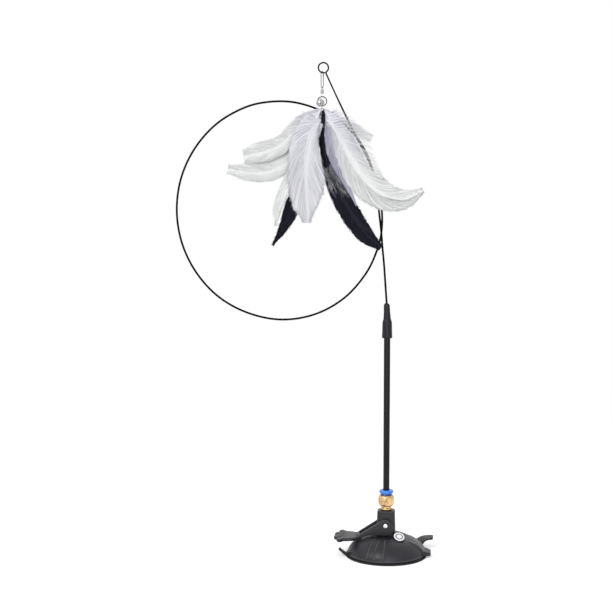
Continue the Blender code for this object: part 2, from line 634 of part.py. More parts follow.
def label_frame():
    """Placement of the round label: local Z is the direction that it faces."""
    facing = Vector((math.cos(LABEL_FACING) * math.sin(LABEL_TILT),
                     math.sin(LABEL_FACING) * math.sin(LABEL_TILT), math.cos(LABEL_TILT)))
    turn = facing.to_track_quat("Z", "Y").to_matrix().to_4x4()
    return Matrix.Translation((LABEL_OUT, -LABEL_ACROSS, LABEL_HEIGHT)) @ turn


def make_cover(parent):
    """Domed cover with its ribs, tongue, label boss and the hole that the post slides in."""
    outer = []
    inner = []
    shares = (0.0, 0.10, 0.24, 0.40, 0.55, 0.68, 0.80, 0.90, 1.0)
    inner_radius = COVER_RADIUS - COVER_WALL
    inner_rise = COVER_RISE - COVER_WALL
    for share in shares:
        level = COVER_SEAT_RISE * share
        outer.append((dome_radius(level, COVER_RADIUS, COVER_RISE), COVER_FOOT + level))
        level = (COVER_SEAT_RISE - COVER_WALL) * share
        inner.append((dome_radius(level, inner_radius, inner_rise), COVER_FOOT + level))
    profile = [(0, COVER_SEAT)] + outer[::-1] + inner + [(0, COVER_SEAT - COVER_WALL)]
    cover = turned("dome_cover", profile, SIDES_LARGE, "black_plastic", parent=parent)

    bm = bmesh.new()
    for angle in RIB_ANGLES:
        rib_solid(bm, angle)
        rib_solid(bm, -angle)
    combine(cover, add_piece("ribs_guide", bm, "black_plastic", parent=parent), "UNION")
    bm = bmesh.new()
    tongue_solid(bm)
    combine(cover, add_piece("tongue_guide", bm, "black_plastic", parent=parent), "UNION")

    bm = bmesh.new()
    boss = LABEL_RADIUS + LABEL_RIM
    turn_profile(bm, [(0, -LABEL_BOSS_DEPTH), (boss, -LABEL_BOSS_DEPTH), (boss, 0), (0, 0)], SIDES)
    bmesh.ops.transform(bm, matrix=label_frame(), verts=bm.verts)
    combine(cover, add_piece("label_boss_guide", bm, "black_plastic", parent=parent), "UNION")

    bm = bmesh.new()
    ring = post_outline(POST_WIDTH / 2 + SLIDE_GAP, POST_DEPTH / 2 + SLIDE_GAP)
    prism(bm, ring, COVER_FOOT + COVER_WALL, COVER_SEAT + LABEL_BOSS_DEPTH)
    combine(cover, add_piece("post_hole_guide", bm, "black_plastic", parent=parent), "DIFFERENCE")

    bm = bmesh.new()
    turn_profile(bm, [(0, GAP), (LABEL_RADIUS, GAP), (LABEL_RADIUS, GAP + LABEL_THICKNESS),
                      (0, GAP + LABEL_THICKNESS)], SIDES)
    bmesh.ops.transform(bm, matrix=label_frame(), verts=bm.verts)
    add_piece("round_label", bm, "label_paper", parent=parent)


def post_outline(half_x, half_y, squareness=POST_SQUARENESS):
    """Rounded-square outline: |x/a|^n + |y/b|^n = 1, read at even angles."""
    outline = []
    for i in range(SIDES):
        a = math.tau * (i + 0.5) / SIDES
        c, s = math.cos(a), math.sin(a)
        r = (abs(c / half_x) ** squareness + abs(s / half_y) ** squareness) ** (-1 / squareness)
        outline.append((r * c, r * s))
    return outline


def make_post(parent):
    """Post: foot moulded into the cup, stem, rounded-square body, thread hole and pin hole."""
    foot_top = FOOT_BOTTOM + POST_FOOT_THICKNESS
    round_edge = POST_CHAMFER / 2
    half_x = POST_WIDTH / 2
    half_y = POST_DEPTH / 2
    levels = [
        (FOOT_BOTTOM, POST_FOOT_RADIUS - round_edge, POST_FOOT_RADIUS - round_edge, 2),
        (FOOT_BOTTOM + round_edge, POST_FOOT_RADIUS, POST_FOOT_RADIUS, 2),
        (foot_top, POST_FOOT_RADIUS, POST_FOOT_RADIUS, 2),
        (foot_top, POST_STEM_RADIUS, POST_STEM_RADIUS, 2),
        (POST_BODY_BOTTOM, POST_STEM_RADIUS, POST_STEM_RADIUS, 2),
        (POST_BODY_BOTTOM, half_x - POST_CHAMFER, half_y - POST_CHAMFER, POST_SQUARENESS),
        (POST_BODY_BOTTOM + POST_CHAMFER, half_x, half_y, POST_SQUARENESS),
        (COVER_SEAT, half_x, half_y, POST_SQUARENESS),
        (POST_TOP - POST_CHAMFER, half_x - POST_TAPER, half_y - POST_TAPER / 2, POST_SQUARENESS),
        (POST_TOP, half_x - POST_TAPER - POST_CHAMFER, half_y - POST_TAPER / 2 - POST_CHAMFER, POST_SQUARENESS),
    ]
    bm = bmesh.new()
    skin_rings(bm, [[(x, y, z) for x, y in post_outline(a, b, n)] for z, a, b, n in levels])
    post = add_piece("post", bm, "black_plastic", parent=parent)
    bm = bmesh.new()
    hole = THREAD_RADIUS + GAP
    turn_profile(bm, [(0, POST_TOP - THREAD_DEPTH), (hole, POST_TOP - THREAD_DEPTH), (hole, POST_TOP + OVERRUN),
                      (0, POST_TOP + OVERRUN)], SIDES)
    combine(post, add_piece("thread_hole_guide", bm, "black_plastic", parent=parent), "DIFFERENCE")
    guide = pin_solid("post_pin_hole_guide", PIN_HOLE, POST_DEPTH / 2 + OVERRUN, parent)
    combine(post, guide, "DIFFERENCE")


def pin_solid(name, radius, half_length, parent):
    """A plain cylinder along the lever's hinge line."""
    bm = bmesh.new()
    turn_profile(bm, [(0, -half_length), (radius, -half_length), (radius, half_length), (0, half_length)],
                 SIDES_SMALL)
    bmesh.ops.rotate(bm, matrix=Matrix.Rotation(math.pi / 2, 3, "X"), verts=bm.verts)
    return add_piece(name, bm, "steel", (0, 0, PIN_HEIGHT), parent)


def make_pin(parent):
    """Steel pivot pin with a low round head at each end."""
    head = EAR_OUTER + GAP
    end = head + PIN_HEAD_THICKNESS
    profile = [
        (0, -end), (PIN_HEAD_RADIUS * 0.7, -end), (PIN_HEAD_RADIUS, -head - PIN_HEAD_THICKNESS / 2),
        (PIN_HEAD_RADIUS, -head), (PIN_RADIUS, -head), (PIN_RADIUS, head), (PIN_HEAD_RADIUS, head),
        (PIN_HEAD_RADIUS, head + PIN_HEAD_THICKNESS / 2), (PIN_HEAD_RADIUS * 0.7, end), (0, end),
    ]
    bm = bmesh.new()
    turn_profile(bm, profile, SIDES_SMALL)
    bmesh.ops.rotate(bm, matrix=Matrix.Rotation(math.pi / 2, 3, "X"), verts=bm.verts)
    add_piece("pivot_pin", bm, "steel", (0, 0, PIN_HEIGHT), parent)


def ear_outline():
    """Side of one arm about the pin, as (x, z). The nose and front follow a cam whose support
    shrinks evenly with the lever's turn, the top is an arc, and the arm tapers to the paw."""
    outline = []
    steps = 8
    for i in range(steps + 1):
        turn = LEVER_OPEN * i / steps
        reach = CAM_REACH - CAM_RATE * turn
        outline.append((reach * math.sin(turn) - CAM_RATE * math.cos(turn),
                        -reach * math.cos(turn) - CAM_RATE * math.sin(turn)))
    top_start = math.radians(10)
    top_end = math.pi / 2 + ARM_SLOPE
    for i in range(steps + 1):
        a = top_start + (top_end - top_start) * i / steps
        outline.append((EAR_TOP_RADIUS * math.cos(a), EAR_TOP_RADIUS * math.sin(a)))
    paw_top = PAW_TOP - PIN_HEIGHT
    drop = outline[-1][1] - paw_top
    outline.append((outline[-1][0] - drop / math.tan(ARM_SLOPE), paw_top))
    outline.append((-PAW_WAIST, paw_top - PAW_ROUND))
    outline.append((-PAW_WAIST, paw_top - PAW_THICKNESS + PAW_ROUND))
    outline.append((-PAW_ROOT - OVERRUN, paw_top - PAW_THICKNESS + PAW_ROUND))
    outline.append((-HEEL_LENGTH, -CAM_REACH + HEEL_LIFT))
    outline.append((-CAM_RATE - HEEL_LIFT * 3, -CAM_REACH + HEEL_LIFT))
    return outline


def paw_outline():
    """Plan of the paw: a web between the arms that widens to a fan of round toes. The fan's radius is
    a base plus a toe's height times the root of |sin| along it."""
    outline = [(-PAW_ROOT, -EAR_OUTER), (-PAW_ROOT, EAR_OUTER), (-PAW_WAIST, EAR_OUTER)]
    steps = PAW_TOES * 6
    for i in range(steps + 1):
        t = i / steps
        a = math.pi - PAW_FAN / 2 + PAW_FAN * t
        radius = PAW_RADIUS + PAW_TOE * math.sqrt(abs(math.sin(math.pi * PAW_TOES * t)))
        outline.append((-PAW_CENTRE + radius * math.cos(a), PAW_SPREAD_SHARE * radius * math.sin(a)))
    outline.append((-PAW_WAIST, -EAR_OUTER))
    return outline


def make_lever(pivot):
    """Fork lever: two cam ears and arms joined to a paw, bored for the pin."""
    paw_top = PAW_TOP - PIN_HEIGHT
    bm = bmesh.new()
    prism(bm, paw_outline(), paw_top - PAW_THICKNESS, paw_top)
    edges = [e for e in bm.edges if abs(e.verts[0].co.z - e.verts[1].co.z) < PAW_ROUND]
    bmesh.ops.recalc_face_normals(bm, faces=bm.faces)
    bmesh.ops.bevel(bm, geom=edges, offset=PAW_ROUND, offset_type="OFFSET", segments=2, profile=0.5,
                    affect="EDGES", clamp_overlap=True)
    lever = add_piece("lever", bm, "black_plastic", parent=pivot)
    bm = bmesh.new()
    for side in (-1, 1):
        low, high = sorted((side * EAR_INNER, side * EAR_OUTER))
        prism(bm, ear_outline(), low, high, axis="Y")
    combine(lever, add_piece("arms_guide", bm, "black_plastic", parent=pivot), "UNION")
    guide = pin_solid("lever_pin_hole_guide", PIN_HOLE, EAR_OUTER + OVERRUN, None)
    guide.parent = pivot
    guide.location = (0, 0, 0)
    combine(lever, guide, "DIFFERENCE")


def make_fitting(parent):
    """Brass body: thread in the post, neck, hexagon, and a stepped bore for the tube and its grip."""
    half_flat = HEX_ACROSS / 2
    corner = half_flat / math.cos(math.pi / 6)
    socket = TUBE_RADIUS + GAP
    profile = [
        (FLOW_BORE, THREAD_BOTTOM), (THREAD_RADIUS - OVERRUN / 2, THREAD_BOTTOM),
        (THREAD_RADIUS, THREAD_BOTTOM + OVERRUN / 2), (THREAD_RADIUS, POST_TOP - OVERRUN), (NECK_RADIUS, POST_TOP),
        (NECK_RADIUS, HEX_BOTTOM), (corner, HEX_BOTTOM), (corner, HEX_TOP), (CHAMBER_RADIUS, HEX_TOP),
        (CHAMBER_RADIUS, CHAMBER_BOTTOM), (socket, CHAMBER_BOTTOM), (socket, SOCKET_FLOOR),
        (FLOW_BORE, SOCKET_FLOOR),
    ]
    body = turned("fitting_body", profile, SIDES, "brass", parent=parent)
    bm = bmesh.new()
    turn_profile(bm, [(0, THREAD_BOTTOM - OVERRUN), (corner + OVERRUN, THREAD_BOTTOM - OVERRUN),
                      (corner + OVERRUN, HEX_TOP + OVERRUN), (0, HEX_TOP + OVERRUN)], 6, angle=HEX_TURN)
    scale = half_flat / math.cos(math.pi / 6) / (corner + OVERRUN)
    bmesh.ops.scale(bm, vec=(scale, scale, 1), verts=bm.verts)
    combine(body, add_piece("hexagon_guide", bm, "brass", parent=parent), "INTERSECT")
    bm = bmesh.new()
    nose = half_flat - HEX_CHAMFER * 0.35
    foot = NECK_RADIUS + OVERRUN
    turn_profile(bm, [(0, THREAD_BOTTOM - OVERRUN), (foot, THREAD_BOTTOM - OVERRUN), (foot, HEX_BOTTOM),
                      (corner + GAP, HEX_BOTTOM + HEX_FOOT_CHAMFER), (corner + GAP, HEX_TOP - HEX_CHAMFER),
                      (nose, HEX_TOP), (nose, HEX_TOP + OVERRUN), (0, HEX_TOP + OVERRUN)], SIDES)
    combine(body, add_piece("hexagon_chamfer_guide", bm, "brass", parent=parent), "INTERSECT")


def make_grip_parts(parent):
    """What the fitting holds inside: a seal round the tube and a guide ring that keeps the sleeve in."""
    bore = TUBE_RADIUS + GAP
    outer = CHAMBER_RADIUS - GAP
    mid = (bore + outer) / 2
    half = (outer - bore) / 2
    profile = []
    for i in range(10):
        a = math.tau * i / 10
        profile.append((mid + half * math.cos(a), SEAL_BOTTOM + SEAL_HEIGHT / 2 * (1 + math.sin(a))))
    turned("tube_seal", profile, SIDES_SMALL, "seal_rubber", parent=parent)
    stem = bore + SLEEVE_WALL + GAP
    turned("guide_ring", [(stem, GUIDE_BOTTOM), (outer, GUIDE_BOTTOM), (outer, HEX_TOP), (stem, HEX_TOP)],
           SIDES, "brass", parent=parent)


def make_claw(parent):
    """Grip ring: a flat steel ring whose inner edge slopes up into teeth that bite the tube."""
    bore = TUBE_RADIUS + GAP
    outer = CHAMBER_RADIUS - GAP
    root = bore + CLAW_TOOTH
    thickness = CLAW_HEIGHT / 4
    sides = SIDES
    bm = bmesh.new()
    levels = [(outer, 0.0), (outer, thickness), (root, thickness), (bore, CLAW_HEIGHT), (bore, CLAW_HEIGHT - thickness),
              (root, 0.0)]
    rings = []
    for radius, height in levels:
        ring = []
        for i in range(sides):
            a = math.tau * i / sides
            notch = CLAW_TOOTH * 0.7 if (i % 4 == 0 and radius == bore) else 0.0
            ring.append(((radius + notch) * math.cos(a), (radius + notch) * math.sin(a), CLAW_BOTTOM + height))
        rings.append(ring)
    skin_rings(bm, rings, closed=True)
    add_piece("grip_ring", bm, "steel", parent=parent)


def make_sleeve(parent):
    """Blue release sleeve: lip held under the guide ring, stem, and the collar that is pressed."""
    bore = TUBE_RADIUS + GAP
    stem = bore + SLEEVE_WALL
    mouth = COLLAR_ROUND
    profile = [
        (bore, LIP_BOTTOM), (SLEEVE_LIP_RADIUS, LIP_BOTTOM), (SLEEVE_LIP_RADIUS, LIP_BOTTOM + SLEEVE_LIP),
        (stem, LIP_BOTTOM + SLEEVE_LIP), (stem, COLLAR_BOTTOM), (COLLAR_RADIUS - COLLAR_ROUND, COLLAR_BOTTOM),
        (COLLAR_RADIUS, COLLAR_BOTTOM + COLLAR_ROUND), (COLLAR_RADIUS, COLLAR_TOP - COLLAR_ROUND),
        (COLLAR_RADIUS - COLLAR_ROUND, COLLAR_TOP), (bore + mouth, COLLAR_TOP), (bore, COLLAR_TOP - mouth),
    ]
    turned("release_sleeve", profile, SIDES, "blue_plastic", parent=parent)


def boot_lean(height):
    """Sideways shift of the wire's line inside the boot at a height."""
    share = (height - BOOT_SHOULDER) / (BOOT_TIP - BOOT_SHOULDER)
    return BOW_WIDTH * BOW_ROUTE_SHARES[0][0] * max(0.0, share) * 0.7


def make_pole(parent):
    """Hollow pole, its boot and the plug that holds the wire in the pole's top."""
    edge = GAP
    turned("pole_tube", [(TUBE_BORE, TUBE_BOTTOM), (TUBE_RADIUS - edge, TUBE_BOTTOM), (TUBE_RADIUS, TUBE_BOTTOM + edge),
                         (TUBE_RADIUS, POLE_TOP), (TUBE_BORE, POLE_TOP)], SIDES_SMALL + SIDES_WIRE, "black_gloss",
           parent=parent)
    wire_hole = WIRE_RADIUS + GAP
    turned("wire_plug", [(wire_hole, POLE_TOP - PLUG_LENGTH), (TUBE_BORE - GAP, POLE_TOP - PLUG_LENGTH),
                         (TUBE_BORE - GAP, POLE_TOP), (wire_hole, POLE_TOP)], SIDES_SMALL, "black_plastic",
           parent=parent)
    socket = TUBE_RADIUS + GAP
    roof = POLE_TOP + GAP
    shoulder_top = BOOT_SHOULDER + BOOT_SHOULDER_HEIGHT
    outside = [
        (BOOT_BOTTOM, BOOT_LIP_RADIUS), (BOOT_BOTTOM + BOOT_LIP_HEIGHT, BOOT_LIP_RADIUS),
        (BOOT_BOTTOM + BOOT_LIP_HEIGHT * 1.3, BOOT_RADIUS), (BOOT_SHOULDER, BOOT_RADIUS),
        (BOOT_SHOULDER + BOOT_SHOULDER_HEIGHT * 0.6, (BOOT_RADIUS + BOOT_NOSE_RADIUS) / 2),
        (shoulder_top, BOOT_NOSE_RADIUS), (BOOT_TIP - BOOT_TIP_ROUND, BOOT_NOSE_RADIUS),
        (BOOT_TIP - BOOT_TIP_ROUND * 0.3, BOOT_NOSE_RADIUS - BOOT_TIP_ROUND * 0.4),
        (BOOT_TIP, BOOT_NOSE_RADIUS - BOOT_TIP_ROUND),
    ]
    inside = [(BOOT_TIP, wire_hole), (roof, wire_hole), (roof, socket), (BOOT_BOTTOM, socket)]
    sides = SIDES_SMALL + SIDES_WIRE
    rings = []
    for height, radius in outside + inside:
        shift = boot_lean(height)
        rings.append([(shift + radius * math.cos(math.tau * k / sides), radius * math.sin(math.tau * k / sides), height)
                      for k in range(sides)])
    bm = bmesh.new()
    skin_rings(bm, rings, closed=True)
    add_piece("tube_boot", bm, "black_rubber", parent=parent)


def bow_points():
    """Centre line of the wire: plug, boot, the crossing loop, and the neck of its eye."""
    start = POLE_TOP - PLUG_LENGTH
    points = [Vector((0, 0, start)), Vector((0, 0, BOOT_SHOULDER)),
              Vector((boot_lean(BOOT_TIP), 0, BOOT_TIP - BOOT_TIP_ROUND))]
    for x, y, z in BOW_ROUTE_SHARES:
        points.append(Vector((BOW_WIDTH * x, BOW_DEPTH * y, BOOT_TIP + BOW_RISE * z)))
    neck = (EYE_CENTRE - points[-1]).normalized()
    neck.y = 0
    neck.normalize()
    points.append(EYE_CENTRE - neck * (EYE_RADIUS + WIRE_RADIUS * 3))
    return points, neck


def make_bow(parent):
    """One spring wire: up from the plug, once round the loop, past itself, and round its end eye."""
    points, neck = bow_points()
    path = smooth_path(points, BOW_STEPS)
    side = Vector((neck.z, 0, -neck.x))
    open_angle = math.asin(min(1.0, (WIRE_RADIUS * 2 + GAP * 2) / EYE_RADIUS))
    for i in range(EYE_STEPS + 1):
        a = open_angle * 0.5 + (math.tau - open_angle * 1.7) * i / EYE_STEPS
        path.append(EYE_CENTRE - neck * EYE_RADIUS * math.cos(a) + side * EYE_RADIUS * math.sin(a))
    bm = bmesh.new()
    add_tube(bm, path, WIRE_RADIUS, SIDES_WIRE)
    add_piece("wire_bow", bm, "black_wire", parent=parent)
    least = 1.0
    apart = 12
    for i in range(0, len(path), 2):
        for j in range(i + apart, len(path), 2):
            least = min(least, (path[i] - path[j]).length)
    print("least gap of the wire to itself, mm:", round((least - WIRE_RADIUS * 2) * 1000, 2))


def make_snap(parent):
    """Snap: a long closed link of thin wire through the bow's eye."""
    across = Vector((math.sin(SNAP_TURN), -math.cos(SNAP_TURN), 0))
    up = Vector((0, 0, 1))
    half = SNAP_WIDTH / 2
    bm = bmesh.new()
    centre = Vector((SNAP_X, LURE_Y, (SNAP_TOP + SNAP_BOTTOM) / 2))
    add_loop(bm, centre, across, up, half, SNAP_WIRE, 20, 6, stretch=SNAP_LENGTH - SNAP_WIDTH)
    add_piece("snap_link", bm, "steel", parent=parent)


def make_swivel(upper, lower):
    """Swivel: a barrel with a chamber at each end, and in each the head of an eye's shank."""
    x, y = SNAP_X, LURE_Y
    mouth = SHANK_RADIUS + GAP
    chamber = SHANK_HEAD_HEIGHT + GAP * 2
    profile = [
        (0, BARREL_BOTTOM + BARREL_NECK + chamber), (BARREL_CHAMBER, BARREL_BOTTOM + BARREL_NECK + chamber),
        (BARREL_CHAMBER, BARREL_BOTTOM + BARREL_NECK), (mouth, BARREL_BOTTOM + BARREL_NECK), (mouth, BARREL_BOTTOM),
        (BARREL_RADIUS - BARREL_ROUND, BARREL_BOTTOM), (BARREL_RADIUS, BARREL_BOTTOM + BARREL_ROUND),
        (BARREL_RADIUS, BARREL_TOP - BARREL_ROUND), (BARREL_RADIUS - BARREL_ROUND, BARREL_TOP), (mouth, BARREL_TOP),
        (mouth, BARREL_TOP - BARREL_NECK), (BARREL_CHAMBER, BARREL_TOP - BARREL_NECK),
        (BARREL_CHAMBER, BARREL_TOP - BARREL_NECK - chamber), (0, BARREL_TOP - BARREL_NECK - chamber),
    ]
    bm = bmesh.new()
    turn_profile(bm, profile, SIDES_SMALL, centre=(x, y))
    add_piece("swivel_barrel", bm, "steel", parent=upper)
    across = Vector((math.cos(SNAP_TURN), math.sin(SNAP_TURN), 0))
    along = Vector((0, 1, 0))
    head_low = BARREL_BOTTOM + BARREL_NECK + GAP
    head_high = BARREL_TOP - BARREL_NECK - GAP
    eyes = (
        ("swivel_upper_eye", UPPER_EYE_Z, UPPER_EYE, UPPER_EYE_Z - UPPER_EYE, head_high, -1, across, upper),
        ("swivel_lower_eye", LOWER_EYE_Z, LOWER_EYE, LOWER_EYE_Z + LOWER_EYE, head_low, 1, along, lower),
    )
    for name, centre_z, radius, root, head, way, first, body in eyes:
        bm = bmesh.new()
        add_loop(bm, Vector((x, y, centre_z)), first, Vector((0, 0, 1)), radius, LOOP_WIRE, 16, 6)
        piece = add_piece(name, bm, "steel", parent=body)
        bm = bmesh.new()
        end = head + SHANK_HEAD_HEIGHT * way
        turn_profile(bm, [(0, root), (SHANK_RADIUS, root), (SHANK_RADIUS, head), (SHANK_HEAD, head),
                          (SHANK_HEAD, end), (0, end)], SIDES_WIRE, centre=(x, y))
        combine(piece, add_piece(name + "_shank_guide", bm, "steel", parent=body), "UNION")


def make_ring(parent):
    """Split ring: one wire wound almost twice in two flat turns, stepping over between them."""
    reach = math.tau - RING_STEP * 1.25
    path = []
    for i in range(RING_STEPS + 1):
        a = reach * (2 * i / RING_STEPS - 1)
        share = max(0.0, min(1.0, (a + RING_STEP) / (RING_STEP * 2)))
        y = RING_PITCH * (share * share * (3 - 2 * share) - 0.5)
        path.append(Vector((SNAP_X - RING_RADIUS * math.cos(a), LURE_Y + y, RING_Z - RING_RADIUS * math.sin(a))))
    bm = bmesh.new()
    add_tube(bm, path, RING_WIRE, 6)
    add_piece("split_ring", bm, "steel", parent=parent)
    least = min((path[i] - path[j]).length for i in range(len(path)) for j in range(i + 12, len(path)))
    print("least gap of the ring's turns, mm:", round((least - RING_WIRE * 2) * 1000, 2))


def make_bell(parent):
    """Jingle bell: a thin ball with crossed slots, a loose clapper, and the link that hangs it."""
    hinge = Vector((SNAP_X - BELL_SIDE, LURE_Y, RING_Z + math.sqrt(RING_RADIUS ** 2 - BELL_SIDE ** 2)))
    centre = hinge + Vector((0, -BELL_FORWARD, -BELL_DROP))
    bm = bmesh.new()
    turns = 8
    outer = [(BELL_RADIUS * math.sin(math.pi * i / turns), -BELL_RADIUS * math.cos(math.pi * i / turns))
             for i in range(turns + 1)]
    inner_radius = BELL_RADIUS - BELL_WALL
    outer[0] = (0, outer[0][1])
    outer[-1] = (0, outer[-1][1])
    turn_profile(bm, outer, SIDES_SMALL + SIDES_WIRE)
    shell = add_piece("bell_shell", bm, "steel", centre, parent)
    bm = bmesh.new()
    inner = [(r * inner_radius / BELL_RADIUS, z * inner_radius / BELL_RADIUS) for r, z in outer]
    turn_profile(bm, inner, SIDES_SMALL)
    combine(shell, add_piece("bell_hollow_guide", bm, "steel", centre, parent), "DIFFERENCE")
    for index, (a, b) in enumerate(((BELL_RADIUS + OVERRUN, BELL_SLOT / 2), (BELL_SLOT / 2, BELL_RADIUS + OVERRUN))):
        bm = bmesh.new()
        prism(bm, [(-a, -b), (a, -b), (a, b), (-a, b)], -BELL_RADIUS - OVERRUN, -BELL_RADIUS * 0.1)
        combine(shell, add_piece(f"bell_slot_guide_{index}", bm, "steel", centre, parent), "DIFFERENCE")
    bm = bmesh.new()
    bmesh.ops.create_icosphere(bm, subdivisions=2, radius=CLAPPER_RADIUS)
    rest = centre - Vector((0, 0, inner_radius - CLAPPER_RADIUS - GAP * 2))
    add_piece("bell_clapper", bm, "steel", rest, parent)
    top = centre + Vector((0, 0, BELL_RADIUS - BELL_WALL / 2))
    reach = (hinge - top).normalized()
    far = hinge + reach * (RING_PITCH / 2 + RING_WIRE + GAP + LOOP_WIRE)
    bm = bmesh.new()
    add_loop(bm, (far + top) / 2, reach.cross(Vector((1, 0, 0))), reach, BELL_LOOP, LOOP_WIRE, 16, 6,
             stretch=(far - top).length - BELL_LOOP * 2)
    combine(shell, add_piece("bell_loop_guide", bm, "steel", parent=parent), "UNION")


def make_crimp(parent):
    """Crimp: a cup that holds the quills, with the loop that hangs it on the ring."""
    outer = CRIMP_RADIUS + CRIMP_WALL
    roof = CRIMP_TOP - CRIMP_CAP
    bm = bmesh.new()
    turn_profile(bm, [(0, roof), (CRIMP_RADIUS, roof), (CRIMP_RADIUS, CRIMP_BOTTOM), (outer, CRIMP_BOTTOM),
                      (outer, CRIMP_TOP - CRIMP_CAP / 2), (outer - CRIMP_CAP / 2, CRIMP_TOP), (0, CRIMP_TOP)],
                 SIDES_SMALL, centre=(SNAP_X, LURE_Y))
    crimp = add_piece("feather_crimp", bm, "steel", parent=parent)
    bm = bmesh.new()
    add_loop(bm, Vector((SNAP_X, LURE_Y, CRIMP_LOOP_Z)), Vector((0, 1, 0)), Vector((0, 0, 1)), CRIMP_LOOP,
             LOOP_WIRE, 16, 6)
    combine(crimp, add_piece("crimp_loop_guide", bm, "steel", parent=parent), "UNION")


def feather_path(feather):
    """Centre line of a quill and its shaft, from inside the crimp to the tip."""
    seat = feather["seat"]
    seat_x = seat_y = 0.0
    if seat is not None:
        a = math.pi / 2 + math.tau * (seat + 0.5) / QUILL_SEATS
        seat_x, seat_y = QUILL_CIRCLE * math.cos(a), QUILL_CIRCLE * math.sin(a)
    x = SNAP_X + seat_x
    points = [Vector((x, 0, FEATHER_Z + QUILL_DEPTH)), Vector((x, 0, FEATHER_Z + QUILL_DEPTH / 2)),
              Vector((x, 0, FEATHER_Z)), Vector((x, 0, FEATHER_Z - SHAFT_STRAIGHT))]
    for out, down in feather["route_shares"]:
        points.append(Vector((SNAP_X - feather["reach"] * out, 0, FEATHER_Z - feather["fall"] * down)))
    path = smooth_path(points, FEATHER_STEPS, FEATHER_STOPS)
    travel = -QUILL_DEPTH - SHAFT_STRAIGHT
    for i, point in enumerate(path):
        if i:
            travel += (point - path[i - 1]).length
        share = max(0.0, min(1.0, travel / SHAFT_FAN))
        point.y = seat_y + (feather["layer"] - seat_y) * share * share * (3 - 2 * share)
    for point in path:
        point.y += LURE_Y
    return path


def make_feather(name, feather, parent):
    """A feather as a closed blade: a quill that flattens into two bowed vanes along a curved shaft.
    Each section runs round both vanes, and its widths follow the feather's table of shares."""
    path = feather_path(feather)
    left, right = feather["vanes"]
    lengths = [0.0]
    for a, b in zip(path, path[1:]):
        lengths.append(lengths[-1] + (b - a).length)
    bare = (QUILL_DEPTH + SHAFT_BARE) / lengths[-1]
    depth = Vector((0, 1, 0))
    rings = []
    for i, point in enumerate(path):
        along = (path[min(i + 1, len(path) - 1)] - path[max(i - 1, 0)]).normalized()
        side = along.cross(depth).normalized()
        lift = side.cross(along).normalized()
        t = lengths[i] / lengths[-1]
        share = shares_at(feather["shape_shares"], max(0.0, (t - bare) / (1 - bare)))
        a = max(QUILL_RADIUS, left * share) if t > bare else QUILL_RADIUS
        b = max(QUILL_RADIUS, right * share) if t > bare else QUILL_RADIUS
        half = QUILL_RADIUS + (FEATHER_THICKNESS / 2 - QUILL_RADIUS) * t
        edge = FEATHER_THICKNESS * 0.3
        bow_a = FEATHER_CAMBER_SHARE * (a - QUILL_RADIUS)
        bow_b = FEATHER_CAMBER_SHARE * (b - QUILL_RADIUS)
        upper = [(-a, edge - bow_a), (-a / 2, half - bow_a / 4), (0, half), (b / 2, half - bow_b / 4),
                 (b, edge - bow_b)]
        lower = [(b, -edge - bow_b), (b / 2, -half - bow_b / 4), (0, -half), (-a / 2, -half - bow_a / 4),
                 (-a, -edge - bow_a)]
        rings.append([point + side * across + lift * out for across, out in upper + lower])
    bm = bmesh.new()
    skin_rings(bm, rings)
    add_piece(name, bm, "feather_" + feather["colour"], parent=parent)


def main():
    for old in list(bpy.data.objects):
        bpy.data.objects.remove(old)
    base = add_empty("base_frame", turn=BASE_TURN)
    make_suction_cup(base)
    make_cover(base)
    post = add_empty("post_slide", parent=base)
    make_post(post)
    make_pin(post)
    make_fitting(post)
    make_grip_parts(post)
    make_lever(add_empty("lever_pivot", (0, 0, PIN_HEIGHT), parent=post))
    make_sleeve(add_empty("sleeve_slide", parent=post))
    make_claw(add_empty("claw_turn", parent=post))
    pole = add_empty("pole_slide")
    make_pole(pole)
    make_bow(pole)
    snap = add_empty("snap_swing")
    make_snap(snap)
    turning = add_empty("swivel_turn")
    make_swivel(snap, turning)
    make_ring(add_empty("ring_swing"))
    make_bell(add_empty("bell_swing"))
    lure = add_empty("lure_swing")
    make_crimp(lure)
    for name, feather in FEATHERS.items():
        make_feather(name, feather, lure)


main()
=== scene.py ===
import math

import bpy
import numpy as np
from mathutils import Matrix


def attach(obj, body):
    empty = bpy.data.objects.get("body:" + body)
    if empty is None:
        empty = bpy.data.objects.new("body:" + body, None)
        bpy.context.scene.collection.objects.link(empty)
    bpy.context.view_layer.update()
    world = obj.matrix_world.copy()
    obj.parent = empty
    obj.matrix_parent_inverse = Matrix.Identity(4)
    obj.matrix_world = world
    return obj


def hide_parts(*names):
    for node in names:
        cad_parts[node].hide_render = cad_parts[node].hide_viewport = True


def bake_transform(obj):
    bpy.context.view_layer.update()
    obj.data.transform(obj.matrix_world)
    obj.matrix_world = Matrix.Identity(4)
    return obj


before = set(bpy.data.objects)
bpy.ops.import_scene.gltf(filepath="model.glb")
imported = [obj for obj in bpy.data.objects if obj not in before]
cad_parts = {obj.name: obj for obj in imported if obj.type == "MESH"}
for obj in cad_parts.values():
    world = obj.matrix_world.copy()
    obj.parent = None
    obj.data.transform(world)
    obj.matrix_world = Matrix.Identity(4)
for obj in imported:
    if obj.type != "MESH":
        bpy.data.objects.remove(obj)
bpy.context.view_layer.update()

# Sizes in metres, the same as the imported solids'
GAP = 0.0003
BASE_TURN = math.radians(-7)
CUP_RADIUS = 0.0385
CUP_RIM_FACE = 0.0026
CUP_RIM_THICKNESS = 0.0011
CUP_RIM_ROUND = 0.0003
CUP_HOLLOW = 0.0022
CUP_PAD_RADIUS = 0.007
CUP_SKIRT_RADIUS = 0.030
CUP_SKIRT_RISE = 0.0010
CUP_STEP = 0.0006
CUP_SEAT_WIDTH = 0.0028
CUP_CROWN = 0.0048
